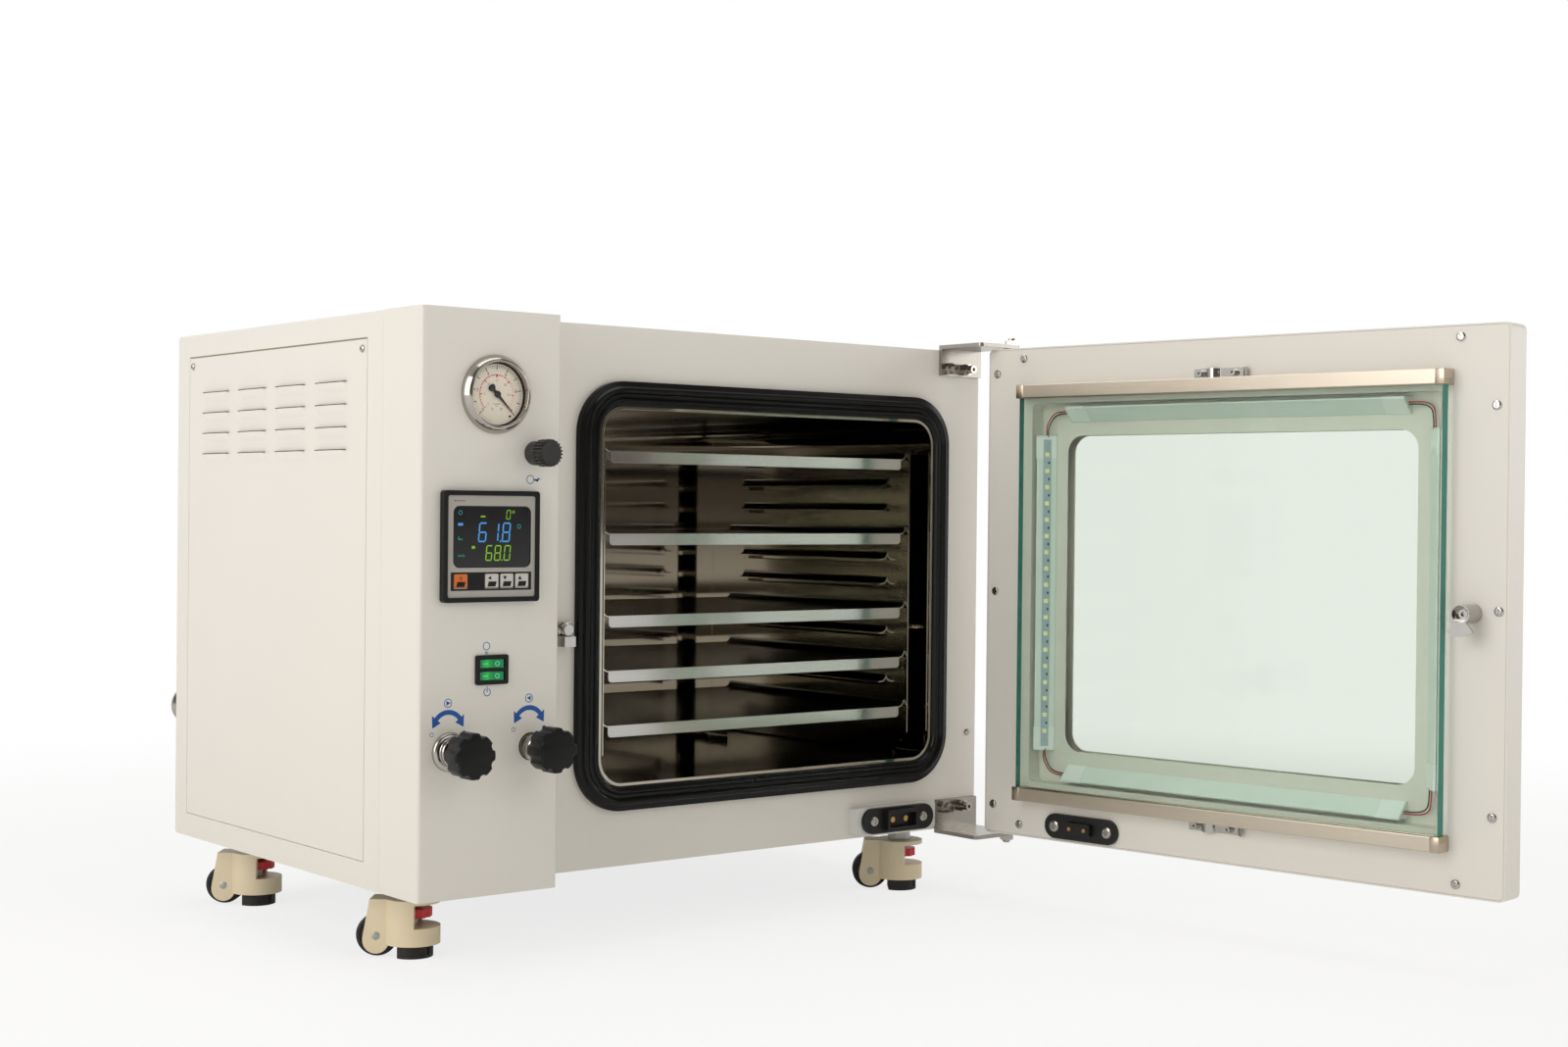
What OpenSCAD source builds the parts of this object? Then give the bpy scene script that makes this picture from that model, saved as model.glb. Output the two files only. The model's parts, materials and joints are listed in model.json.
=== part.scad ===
// Bench-top vacuum oven with a glazed, lit door that stands open.
// Cabinet measures run from its lower left front corner: +X to the right,
// +Y to the back, +Z up. Door pieces are drawn where they sit with the door
// shut and are then swung about the hinge pins, so what meets stays in line.

/* [Cabinet] */
// Width of the cabinet
body_w = 715; // [700:1:730]
// Height of the cabinet above its underside
body_h = 507; // [500:1:520]
// Depth from the control column's face to the back
body_d = 497; // [490:1:530]
// Width of the control column
col_w = 140; // [136:1:146]
// How far the chamber front stands back from the column's face
recess = 61; // [58:1:66]
// Thickness of the cabinet sheet
wall = 1.5; // [1:0.1:2]
// Outer radius of the folded sheet edges
edge_r = 3; // [2.5:0.5:4]
// Height of the cabinet's underside above the floor
floor_gap = 70; // [68:1:76]

/* [Chamber] */
// Distance of the chamber from the shut door's side edges
chamber_side = 77.25; // [74:0.25:80]
// Distance of the chamber from the door's upper and lower edges
chamber_rise = 77; // [74:0.5:80]
// Space for lagging and pipes behind the chamber
chamber_back_space = 66; // [60:1:80]
// Offset of the chamber's middle from the door's middle
chamber_shift = 1.4; // [0:0.1:2]
// Chamber sheet
chamber_wall = 3; // [2.5:0.1:4]
// Inner corner radius of the chamber
chamber_r = 23.5; // [20:0.5:30]
// Width of the gasket band around the chamber mouth
gasket_w = 23.5; // [21:0.5:24]
// Height of the gasket's sealing ridges
gasket_h = 11.7; // [10:0.1:13]
// Clearance of the shut glass over the gasket
seal_gap = 0.3; // [0.2:0.1:0.5]

/* [Shelves] */
// Height of the lowest runner above the chamber floor
runner_low = 49; // [44:1:54]
// Distance of the top runner from the chamber ceiling
runner_high = 41; // [36:1:46]
// Thickness of the shelf and rack sheet
shelf_t = 1.2; // [1:0.1:1.5]
// Distance of the rack plates from the chamber walls
rack_gap = 14.5; // [13:0.5:16]
// Outer radius of a bent runner
runner_r = 9; // [8:0.5:10]
// Space between a shelf and the chamber's back wall
shelf_space = 55; // [50:1:70]
// Height of a shelf's folded front
shelf_lip = 10; // [8:0.5:11]

/* [Door] */
// Gap between the column and the shut door
door_gap = 4.8; // [4:0.1:6]
// Inset of the door's hinge edge from the cabinet side
door_side = 0.7; // [0.5:0.1:1.5]
// Door thickness
door_t = 34; // [33:0.5:38]
// Rounding of the door's outer edges
door_r = 6; // [4:0.5:7]
// Angle at which the door stands open
door_open = 97.5; // [90:0.5:110]
// How far the thick inner glass reaches past the chamber's sides
glass_side = 23.5; // [22:0.5:25]
// How far the thick inner glass reaches above and below the chamber
glass_rise = 29; // [27:0.5:31]
// Thickness of the inner glass
glass_t = 12; // [10:0.5:13]
// Distance of the inner glass from the door liner
glass_stand = 5; // [4:0.1:6]
// Distance of the window's side edges from the chamber's sides
window_side = 14.5; // [12:0.5:20]
// Distance of the window's other edges from the chamber's floor and ceiling
window_rise = 14; // [12:0.5:20]
// Corner radius of the window opening
window_r = 18; // [14:1:24]
// Depth of the lamp tray in the door liner
tray_d = 18; // [16:0.5:19]
// Thickness of the outer window pane
pane_t = 5; // [4:0.5:6]
// Distance of the hinge pins from the hinge edge
pin_inset = 7.8; // [7.5:0.1:9]
// Distance of the hinge pins from the door's outer face
pin_depth = 6.5; // [6.2:0.1:8]
// Radius of the hinge pins
pin_r = 4; // [3:0.1:4.5]
// Radial play of hinge pins, knobs and axles
fit_gap = 0.05; // [0.03:0.01:0.09]

/* [Latch] */
// Distance of the latch from the gasket
latch_side = 19.65; // [19:0.05:21]
// How far the latch sits below the door's middle
latch_drop = 2; // [0:1:10]
// Radius of the latch sleeve
sleeve_r = 8.75; // [8:0.25:9]
// Length of the latch sleeve
sleeve_l = 24.5; // [22:0.5:25]
// Reach of the latch tongue
tongue_r = 19.5; // [18:0.5:20]
// Reach of the outer handle from the door
handle_reach = 38; // [34:1:44]
// Length of the outer handle
handle_l = 100; // [80:1:110]

/* [Control column] */
// Left edge of the controller
ctrl_x = 19; // [16:0.5:22]
// Distance of the controller from the cabinet top
ctrl_drop = 156.4; // [152:0.2:160]
// Side of the square controller bezel
ctrl_s = 96; // [94:0.5:97]
// Middle of the vacuum gauge across the column
gauge_x = 73; // [68:0.5:76]
// Distance of the vacuum gauge's middle from the cabinet top
gauge_drop = 73; // [68:1:78]
// Outer radius of the gauge bezel
gauge_r = 34.3; // [32:0.1:35]
// Middle of the air filter fitting across the column
vent_x = 113; // [111:0.5:118]
// Distance of the air filter fitting from the cabinet top
vent_drop = 123; // [120:1:128]
// Middle of the pump valve across the column
pump_x = 30; // [28:0.5:32]
// Middle of the air inlet valve across the column
inlet_x = 112; // [108:0.5:114]
// Distance of both valves below the rocker switch
valve_drop = 56; // [50:1:60]
// Radius of a valve knob
knob_r = 19.8; // [18:0.2:21]
// Lobes of a valve knob
knob_lobes = 8; // [6:1:10]
// Left edge of the double rocker switch
switch_x = 54.5; // [50:0.5:60]
// Distance of the double rocker switch below the controller
switch_drop = 45.9; // [40:0.1:50]

/* [Side panel] */
// Front edge of the side access panel
panel_y0 = 95; // [90:1:100]
// Distance of the panel's back edge from the cabinet back
panel_back = 27; // [24:1:32]
// Lower edge of the side access panel
panel_z0 = 23; // [20:1:28]
// Distance of the panel's upper edge from the cabinet top
panel_top = 23; // [20:1:28]
// Length of a louvre
louvre_l = 60; // [54:1:63]
// Height of a louvre
louvre_h = 10; // [8:0.5:12]
// How far a louvre stands out
louvre_d = 3; // [2:0.2:4]
// Louvres in a row
louvre_cols = 4; // [2:1:4]
// Rows of louvres
louvre_rows = 4; // [2:1:5]

/* [Casters] */
// Distance of the casters from the cabinet sides
caster_x = 61; // [56:1:66]
// Distance of the front casters from the column's face
caster_y0 = 115; // [110:1:120]
// Distance of the rear casters from the cabinet back
caster_back = 62; // [56:1:68]
// Direction in which the wheels trail
caster_turn = 141; // [0:1:359]
// Radius of the wheels
wheel_r = 19; // [18:0.5:19]
// Width of the wheels
wheel_w = 17.6; // [16:0.2:18]
// Distance of the wheel axle from the swivel axis
trail = 31; // [30.5:0.5:33]
// Radius of the foot pads
foot_r = 18.7; // [17:0.1:19]
// Play between the moving caster pieces
caster_gap = 0.4; // [0.3:0.1:0.6]

/* [Rear] */
// Reach of the pump port behind the cabinet
port_reach = 36; // [30:1:40]
// Bore radius of the pump port
port_r = 12.5; // [12:0.1:13]

/* [Hidden] */

$fn = 48;
eps = 0.01;              // overlap that joins touching shapes of one piece
screw_fn = 24;

// colours
paint = [0.87, 0.84, 0.78];
steel = [0.74, 0.73, 0.71];
black = [0.07, 0.07, 0.07];
nylon = [0.84, 0.78, 0.68];

// cabinet planes
shell_y0 = recess + 2 * edge_r;          // where the wrap meets the front
shell_y1 = body_d - wall;
base_t = 3;

// door planes, measured with the door shut
hinge_x = body_w - door_side;
door_w = hinge_x - col_w - door_gap;
door_y = recess - gasket_h - seal_gap - glass_stand - glass_t;
door_z0 = 2;
door_z1 = body_h - 1;
door_h = door_z1 - door_z0;
door_front = door_y - door_t;
pivot_x = hinge_x - pin_inset;
pivot_y = door_front + pin_depth;

// chamber
chamber_w = door_w - 2 * chamber_side;
chamber_h = door_h - 2 * chamber_rise;
chamber_d = body_d - recess - chamber_back_space;
chamber_x = hinge_x - door_w / 2 + chamber_shift;
chamber_z = (door_z0 + door_z1) / 2;
tub_w = chamber_w + 2 * chamber_wall;
tub_h = chamber_h + 2 * chamber_wall;
tub_r = chamber_r + chamber_wall;
rim_out = gasket_h - 4.7;                // rim in front of the cabinet face
chamber_back = recess + chamber_d;
flange_y = recess + wall;
flange_t = 4;
flange_w = 38;
mat_t = 3;                               // heater mats on the tub
mat_gap = 0.3;
lagging_t = 40;

// glass and window
glass_w = chamber_w + 2 * glass_side;
glass_h = chamber_h + 2 * glass_rise;
window_w = chamber_w - 2 * window_side;
window_h = chamber_h - 2 * window_rise;

// latch and column fittings
gasket_x = chamber_x - tub_w / 2 - gasket_w;
latch_x = gasket_x - latch_side;
latch_z = chamber_z - latch_drop;
gauge_z = body_h - gauge_drop;
vent_z = body_h - vent_drop;
ctrl_z = body_h - ctrl_drop - ctrl_s;
switch_h = 25.7;
switch_z = ctrl_z - switch_drop - switch_h;
valve_z = switch_z - valve_drop;

// shelves
runner_count = 11;
runner_z = chamber_z - chamber_h / 2 + runner_low;
runner_pitch = (chamber_h - runner_low - runner_high) / (runner_count - 1);
rack_x = chamber_w / 2 - rack_gap;       // rack plate from the middle
shelf_in = 15;
shelf_y = recess + shelf_in;
shelf_d = chamber_d - shelf_in - shelf_space;
shelf_levels = [10, 7, 4, 2, 0];
nest_gap = 0.3;

// latch handle: turn between free and locked, start and width of its grip
latch_turn = 50;
grip_start = 40;
lever_w = 16;

// origin: floor level, under the middle of the part with its door open
function swung(p) = let (c = cos(door_open), s = sin(door_open),
    dx = p[0] - pivot_x, dy = p[1] - pivot_y)
    [pivot_x + c * dx - s * dy, pivot_y + s * dx + c * dy];
x_max = swung([latch_x + grip_start * sin(latch_turn)
    - lever_w / 2 * cos(latch_turn), door_front - handle_reach])[0];
y_min = swung([hinge_x - door_w, door_y])[1];
origin_x = (x_max - louvre_d) / 2;
origin_y = (y_min + body_d + port_reach) / 2;

module placed() { translate([-origin_x, -origin_y, floor_gap]) children(); }

module on_door() {
  placed() translate([pivot_x, pivot_y, 0]) rotate([0, 0, door_open])
    translate([-pivot_x, -pivot_y, 0]) children();
}

// ---- shared shapes ----

// rounded rectangle about its middle
module rounded(w, h, r) {
  square([w - 2 * r, h], center = true);
  square([w, h - 2 * r], center = true);
  for (sx = [-1, 1], sz = [-1, 1])
    translate([sx * (w / 2 - r), sz * (h / 2 - r)]) circle(r);
}

// stadium outline with round ends
module stadium(w, h) {
  square([w - h, h], center = true);
  for (s = [-1, 1]) translate([s * (w - h) / 2, 0]) circle(h / 2);
}

// outline in X and Z, extruded from y0 to y1
module along_y(y0, y1) {
  translate([0, y1, 0]) rotate([90, 0, 0]) linear_extrude(y1 - y0) children();
}

// outline in Y and Z, extruded from x0 to x1
module along_x(x0, x1) {
  translate([x0, 0, 0]) rotate([90, 0, 90]) linear_extrude(x1 - x0) children();
}

// profile turned about an axis along -Y: heights stand out of the face at y
module turned_y(x, z, y = 0) {
  translate([x, y, z]) rotate([90, 0, 0]) rotate_extrude() children();
}

module hole_y(x, z, r, y0, y1) {
  translate([x, y0, z]) rotate([-90, 0, 0]) cylinder(r = r, h = y1 - y0);
}

// panel screw: cross-slotted domed head above z = 0, shank below
module panel_screw(head_r = 3.4, shank_r = 1.6, shank_l = 2.6) {
  head_h = 2;
  difference() {
    rotate_extrude($fn = screw_fn)
      polygon([[0, -shank_l], [shank_r, -shank_l], [shank_r, 0], [head_r, 0],
        [head_r, 0.5 * head_h], [0.65 * head_r, head_h], [0, head_h]]);
    for (a = [0, 90]) rotate(a)
      translate([-0.55 * head_r, -0.35, 0.5 * head_h])
        cube([1.1 * head_r, 0.7, head_h]);
  }
}

screw_clear = 1.75;                      // hole radius for a panel screw

// visible head of a countersunk screw, cross-slotted
module flat_screw(head_r) {
  difference() {
    cylinder(r1 = head_r, r2 = 0.8 * head_r, h = 1.2, $fn = screw_fn);
    for (a = [0, 90]) rotate(a)
      translate([-0.55 * head_r, -0.5, 0.5]) cube([1.1 * head_r, 1, 1]);
  }
}

// hexagon socket screw with its washer, head above z = 0
module socket_bolt(shank_r, head_r, head_h, shank_l) {
  washer_h = 1.2;
  difference() {
    union() {
      cylinder(r = 1.25 * head_r, h = washer_h);
      cylinder(r = head_r, h = washer_h + head_h);
      translate([0, 0, -shank_l]) cylinder(r = shank_r, h = shank_l + eps);
    }
    translate([0, 0, washer_h + 0.45 * head_h])
      cylinder(r = 0.5 * head_r, h = head_h, $fn = 6);
  }
}

// ---- cabinet ----

panel_l = shell_y1 + wall - panel_back - panel_y0;
panel_h = body_h - panel_top - panel_z0;
panel_y = panel_y0 + panel_l / 2;
panel_z = panel_z0 + panel_h / 2;
panel_gap = 0.8;
ledge_w = 12;
panel_screw_in = 9;

function panel_screws() = [for (y = [panel_y0 + panel_screw_in,
    panel_y0 + panel_l - panel_screw_in])
    [y, panel_z0 + panel_h - panel_screw_in]];

module cabinet_shell() {
  color(paint) placed() difference() {
    union() {
      along_y(shell_y0, shell_y1) difference() {
        union() {
          square([body_w, body_h - edge_r]);
          translate([edge_r, 0]) square([body_w - 2 * edge_r, body_h]);
          for (x = [edge_r, body_w - edge_r])
            translate([x, body_h - edge_r]) circle(edge_r);
        }
        translate([wall, -1]) square([body_w - 2 * wall, body_h - wall + 1]);
      }
      along_x(wall, 2 * wall) translate([panel_y, panel_z])
        square([panel_l + ledge_w, panel_h + ledge_w], center = true);
    }
    along_x(-1, wall) translate([panel_y, panel_z])
      square([panel_l, panel_h], center = true);
    along_x(0, 2 * wall + 1) translate([panel_y, panel_z])
      square([panel_l - 2 * ledge_w, panel_h - 2 * ledge_w], center = true);
    for (p = panel_screws()) translate([0, p[0], p[1]]) rotate([0, 90, 0])
      cylinder(r = screw_clear, h = 2 * wall + 1);
  }
}

// side wall of a louvre hood: how far it stands out at a distance from its lip
function hood(r, h, d) = d * (1 - pow(r / h, 2));

louvre_steps = 4;

// solid hood of the height h and depth d, its lip at z = 0, standing to -X
module hood_solid(l, h, d) {
  curve = [for (i = [0:louvre_steps]) let (r = h * i / louvre_steps)
    [r, hood(r, h, d)]];
  translate([0, l / 2 - h, 0]) rotate([90, 0, 0])
    linear_extrude(l - 2 * h)
      polygon(concat([[0.5, 0]], [for (p = curve) [-p[1], -p[0]]],
        [[0.5, -h]]));
  for (s = [0, 1]) mirror([0, s, 0]) translate([0, l / 2 - h, 0])
    rotate([0, -90, 0]) rotate([0, 0, 90]) rotate_extrude(angle = 90)
      polygon(concat([[0, -0.5]], [for (p = curve) p], [[h, -0.5]]));
}

louvre_t = 1;
louvre_first = 36;                       // first louvre behind the panel edge
louvre_space = (panel_l - 2 * louvre_first - louvre_l) / (louvre_cols - 1);
louvre_drop = 37;                        // top row below the panel's top
louvre_pitch = 20.3;

module access_panel() {
  color(paint) placed() difference() {
    union() {
      along_x(0, wall) translate([panel_y, panel_z])
        square([panel_l - 2 * panel_gap, panel_h - 2 * panel_gap],
          center = true);
      louvres() hood_solid(louvre_l, louvre_h, louvre_d);
    }
    louvres() translate([wall + eps, 0, eps])
      hood_solid(louvre_l - 2 * louvre_t, louvre_h - louvre_t,
        louvre_d - louvre_t + wall);
    for (p = panel_screws()) translate([-1, p[0], p[1]]) rotate([0, 90, 0])
      cylinder(r = screw_clear, h = wall + 2);
  }
}

module louvres() {
  for (i = [0:louvre_cols - 1], j = [0:louvre_rows - 1])
    translate([0, panel_y0 + louvre_first + louvre_l / 2 + i * louvre_space,
      panel_z0 + panel_h - louvre_drop - j * louvre_pitch]) children();
}

post_r = 12;                             // caster post under the base
post_pin_r = 5;
post_l = 16.7;
post_pin_l = 3.7;
caster_y1 = body_d - caster_back;

function caster_spot(i) = [i % 2 == 0 ? caster_x : body_w - caster_x,
    i < 2 ? caster_y0 : caster_y1];

module base_plate() {
  color(steel) placed() {
    translate([wall, shell_y0, 0])
      cube([body_w - 2 * wall, shell_y1 - shell_y0, base_t]);
    for (i = [0:3]) translate([caster_spot(i)[0], caster_spot(i)[1], 0]) {
      translate([0, 0, -post_l]) cylinder(r = post_r, h = post_l + eps);
      translate([0, 0, -post_l - post_pin_l])
        cylinder(r = post_pin_r, h = post_pin_l + eps);
    }
  }
}

pipe_r = 8;
inlet_socket_w = 46;
inlet_socket_h = 30;
inlet_socket_x = body_w - 110;
inlet_socket_z = 21;
back_screw_in = 12;
vent_slots = 8;
back_vent_in = 165;
back_vent_drop = 60;
back_vent_pitch = 11;
back_vent_l = 80;

function back_screws() = [for (x = [back_screw_in, body_w / 2,
    body_w - back_screw_in], z = [back_screw_in, body_h - back_screw_in])
    [x, z]];

module back_panel() {
  color(paint) placed() difference() {
    along_y(shell_y1, body_d) translate([body_w / 2, body_h / 2])
      rounded(body_w, body_h, edge_r);
    hole_y(pump_x, valve_z, port_r + 3.5, shell_y1 - 1, body_d + 1);
    along_y(shell_y1 - 1, body_d + 1)
      translate([inlet_socket_x, inlet_socket_z])
        square([inlet_socket_w, inlet_socket_h], center = true);
    for (i = [0:vent_slots - 1], x = [back_vent_in, body_w - back_vent_in])
      along_y(shell_y1 - 1, body_d + 1)
        translate([x, body_h - back_vent_drop - back_vent_pitch * i])
          stadium(back_vent_l, 4);
    for (p = back_screws())
      hole_y(p[0], p[1], screw_clear, shell_y1 - 1, body_d + 1);
  }
}

// front bolts of the hinge brackets and the screw near the right edge
bracket_w = 58;
bracket_t = 4;
bracket_x1 = body_w - 2;
bracket_x0 = bracket_x1 - bracket_w;
bolt_r = 3;
bolt_clear = 3.15;
bolt_xs = [bracket_x0 + 9, bracket_x0 + 34];
bolt_top_z = body_h - 19.5;
bolt_low_z = 23;
front_screw = [body_w - 14, 100];

function hinge_bolts() = [for (x = bolt_xs, z = [bolt_low_z, bolt_top_z])
    [x, z]];

module front_fascia() {
  color(paint) placed() difference() {
    union() {
      along_y(recess, shell_y0) difference() {
        translate([col_w, 0]) square([body_w - col_w - edge_r, body_h]);
        translate([col_w - 1, wall])
          square([body_w - col_w - wall + 1, body_h - 2 * wall]);
      }
      translate([col_w, recess, 0])
        cube([body_w - col_w - edge_r, wall, body_h]);
      // folded right edge, rounded toward the front
      linear_extrude(body_h) difference() {
        union() {
          translate([body_w - edge_r, recess + edge_r])
            square([edge_r, shell_y0 - recess - edge_r]);
          translate([body_w - edge_r, recess + edge_r]) circle(edge_r);
        }
        translate([body_w - edge_r - wall, recess + edge_r])
          square([edge_r, edge_r + 5]);
      }
    }
    along_y(recess - 1, shell_y0 + 1) translate([chamber_x, chamber_z])
      rounded(tub_w + 1, tub_h + 1, tub_r + 0.5);
    for (p = hinge_bolts())
      hole_y(p[0], p[1], bolt_clear, recess - 1, flange_y + 1);
    hole_y(front_screw[0], front_screw[1], screw_clear, recess - 1,
      flange_y + 1);
    for (p = strike_screws())
      hole_y(p[0], p[1], screw_clear, recess - 1, flange_y + 1);
  }
}

// ---- control column ----

ctrl_mid = [ctrl_x + ctrl_s / 2, ctrl_z + ctrl_s / 2];
ctrl_body = 91;                          // body behind the panel
switch_w = 32.5;
switch_body_w = 30;
switch_body_h = 23;
switch_mid = [switch_x + switch_w / 2, switch_z + switch_h / 2];
gauge_neck = 30.7;
vent_neck = 7.7;
pump_neck = 14;
inlet_neck = 12;
cut_gap = 0.3;                           // play of the fittings in their holes

module control_column() {
  color(paint) placed() difference() {
    linear_extrude(body_h) {
      translate([0, edge_r]) square([col_w, shell_y0 - edge_r]);
      translate([edge_r, 0]) square([col_w - 2 * edge_r, edge_r + eps]);
      for (x = [edge_r, col_w - edge_r]) translate([x, edge_r])
        circle(edge_r);
    }
    translate([wall, wall, wall])
      cube([col_w - 2 * wall, shell_y0, body_h - 2 * wall]);
    hole_y(gauge_x, gauge_z, gauge_neck + cut_gap, -1, wall + 1);
    hole_y(vent_x, vent_z, vent_neck + cut_gap, -1, wall + 1);
    hole_y(pump_x, valve_z, pump_neck + cut_gap, -1, wall + 1);
    hole_y(inlet_x, valve_z, inlet_neck + cut_gap, -1, wall + 1);
    along_y(-1, wall + 1) translate(ctrl_mid)
      square(ctrl_body + 2 * cut_gap, center = true);
    along_y(-1, wall + 1) translate(switch_mid)
      square([switch_body_w + 2 * cut_gap, switch_body_h + 2 * cut_gap],
        center = true);
  }
}

dial_depth = 8;                          // dial below the bezel's crest
crest_h = 9;
lens_t = 1.8;

module gauge_case() {
  seat = gauge_r - 5.1;                  // seat of the lens
  dial = crest_h - dial_depth;
  lens_z = crest_h - 3.4;
  color(steel) placed() turned_y(gauge_x, gauge_z)
    polygon([[0, -30], [gauge_neck, -30], [gauge_neck, 0], [gauge_r, 0],
      [gauge_r, 1.5], [gauge_r - 0.7, 3.4], [gauge_r - 1.9, 5.8],
      [gauge_r - 3.2, 7.8], [gauge_r - 4.5, crest_h],
      [seat - 1, crest_h], [seat - 1.6, crest_h - 0.8],
      [seat - 1.6, lens_z + 2], [seat, lens_z + 2], [seat, lens_z],
      [seat - 1.6, lens_z], [seat - 1.6, dial], [1.5, dial],
      [1.5, dial + 3.8], [0, dial + 3.8]]);
}

module gauge_lens() {
  color([0.9, 0.95, 0.95, 0.4]) placed() turned_y(gauge_x, gauge_z)
    translate([0, crest_h - 3.3]) square([gauge_r - 5.2, lens_t]);
}

needle_rest = -45;                       // lower right of the dial

module gauge_needle() {
  hub = crest_h - dial_depth + 1;
  color(black) placed() translate([gauge_x, 0, gauge_z]) rotate([90, 0, 0])
    difference() {
      union() {
        translate([0, 0, hub]) cylinder(r = 3, h = 2.2);
        translate([0, 0, hub + 0.6]) linear_extrude(0.8)
          rotate(needle_rest)
            polygon([[-10, -2.2], [-10, 2.2], [-6, 1.5], [0, 1.6],
              [gauge_r - 12.3, 0.3], [gauge_r - 12.3, -0.3], [0, -1.6],
              [-6, -1.5]]);
      }
      translate([0, 0, hub - 1]) cylinder(r = 1.5 + fit_gap, h = 5);
    }
}

vent_spigot = 5.5;

module vent_body() {
  color(black) placed() turned_y(vent_x, vent_z)
    polygon([[0, -28], [4, -28], [4, -9], [11, -9], [11, -wall],
      [vent_neck, -wall], [vent_neck, 0], [10.6, 0], [10.6, 12],
      [vent_spigot, 12], [vent_spigot, 24], [0, 24]]);
}

module vent_cap() {
  color(black) placed() translate([vent_x, 0, vent_z]) rotate([90, 0, 0])
    difference() {
      rotate_extrude()
        polygon([[vent_spigot + fit_gap, 12.3], [11, 12.3], [12, 13.3],
          [12, 27], [11, 28], [0, 28], [0, 24.3],
          [vent_spigot + fit_gap, 24.3]]);
      for (a = [0:20:340]) rotate(a) translate([12.4, 0, 14.5])
        cylinder(r = 1.1, h = 11, $fn = 12);
    }
}

// controller: a square bezel with a screen field and a strip of four keys
ctrl_bezel = 7;
ctrl_face = 5.5;
ctrl_depth = 75;
key_w = 12.8;
key_h = 11.8;
key_xs = [17.4, 48.2, 63.3, 78.4];
key_drop = 77.5;
key_play = 0.25;
key_out = 6.2;
key_in = 0.2;
key_pocket = 1;

module controller_case() {
  color(black) placed() difference() {
    union() {
      along_y(-ctrl_bezel, 0) translate(ctrl_mid)
        rounded(ctrl_s, ctrl_s, 3);
      along_y(0, ctrl_depth) translate(ctrl_mid)
        square(ctrl_body, center = true);
    }
    along_y(-ctrl_bezel - 1, -ctrl_face) translate(ctrl_mid)
      rounded(ctrl_s - 8.5, ctrl_s - 8.5, 2);
    along_y(-ctrl_bezel - 1, -ctrl_face + 1)
      translate([ctrl_x + 48.75, ctrl_z + ctrl_s - 39.75])
        rounded(77.5, 53, 6);
    for (x = key_xs) along_y(-ctrl_bezel - 1, key_pocket)
      translate([ctrl_x + x, ctrl_z + ctrl_s - key_drop])
        square([key_w + 2 * key_play, key_h + 2 * key_play], center = true);
  }
}

module key(i) {
  translate([ctrl_x + key_xs[i], 0, ctrl_z + ctrl_s - key_drop])
    along_y(-key_out, -key_in) rounded(key_w, key_h, 1.2);
}

module key_menu() { color([0.85, 0.45, 0.2]) placed() key(0); }
module key_shift() { color([0.6, 0.6, 0.6]) placed() key(1); }
module key_down() { color([0.6, 0.6, 0.6]) placed() key(2); }
module key_up() { color([0.6, 0.6, 0.6]) placed() key(3); }

// double rocker switch
rocker_w = 21.8;
rocker_h = 7.2;
rocker_z = 5.3;                          // rockers off the switch's middle
rocker_play = 0.2;
rocker_y = 5;                            // pivots behind the column's face
rocker_tilt = 8;
rocker_pin = 1.2;

module switch_housing() {
  color(black) placed() difference() {
    union() {
      along_y(-2.5, 0) translate(switch_mid) rounded(switch_w, switch_h, 2);
      along_y(0, 28) translate(switch_mid)
        square([switch_body_w, switch_body_h], center = true);
    }
    for (s = [-1, 1]) {
      along_y(-3, 14)
        translate([switch_mid[0], switch_mid[1] + s * rocker_z])
          square([rocker_w + 2.6, rocker_h + 2 * rocker_play],
            center = true);
      translate([switch_mid[0], rocker_y, switch_mid[1] + s * rocker_z])
        cylinder(r = rocker_pin + fit_gap,
          h = rocker_h + 2 * rocker_play + 0.9, center = true, $fn = 24);
    }
  }
}

module rocker(s) {
  w = rocker_w / 2;
  translate([switch_mid[0], rocker_y, switch_mid[1] + s * rocker_z])
    rotate(-rocker_tilt) {
      translate([0, 0, -rocker_h / 2]) linear_extrude(rocker_h)
        polygon([[-w, -8.6], [0, -6.4], [w, -8.6], [w, -2], [w - 4, 4],
          [4 - w, 4], [-w, -2]]);
      cylinder(r = rocker_pin, h = rocker_h + 2 * rocker_play + 0.6,
        center = true, $fn = 24);
    }
}

module light_rocker() { color([0.1, 0.55, 0.25]) placed() rocker(1); }
module power_rocker() { color([0.1, 0.55, 0.25]) placed() rocker(-1); }

// valves with their stems, nuts and blocks behind the column's face
stem_r = 5;
stem_out = 38;
pump_block = 28;
inlet_block = 22;
block_y0 = 7.5;
pump_block_y1 = 41.5;
inlet_block_y1 = 38;

module valve_bodies() {
  color(steel) placed() {
    turned_y(pump_x, valve_z)
      polygon([[0, -block_y0], [16, -block_y0], [16, -wall],
        [pump_neck, -wall], [pump_neck, 0], [17, 0], [17, 4], [12, 4],
        [12, 10], [8, 10], [8, 18], [stem_r, 18], [stem_r, stem_out],
        [0, stem_out]]);
    turned_y(inlet_x, valve_z)
      polygon([[0, -block_y0], [14, -block_y0], [14, -wall],
        [inlet_neck, -wall], [inlet_neck, 0], [7, 0], [7, 15],
        [stem_r, 15], [stem_r, stem_out], [0, stem_out]]);
    translate([inlet_x, 0, valve_z]) rotate([90, 0, 0])
      cylinder(r = 14.2, h = 7, $fn = 6);
    along_y(block_y0, pump_block_y1) translate([pump_x, valve_z])
      square(pump_block, center = true);
    along_y(block_y0, inlet_block_y1) translate([inlet_x, valve_z])
      square(inlet_block, center = true);
  }
}

knob_in = 24;
knob_out = 45;

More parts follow.
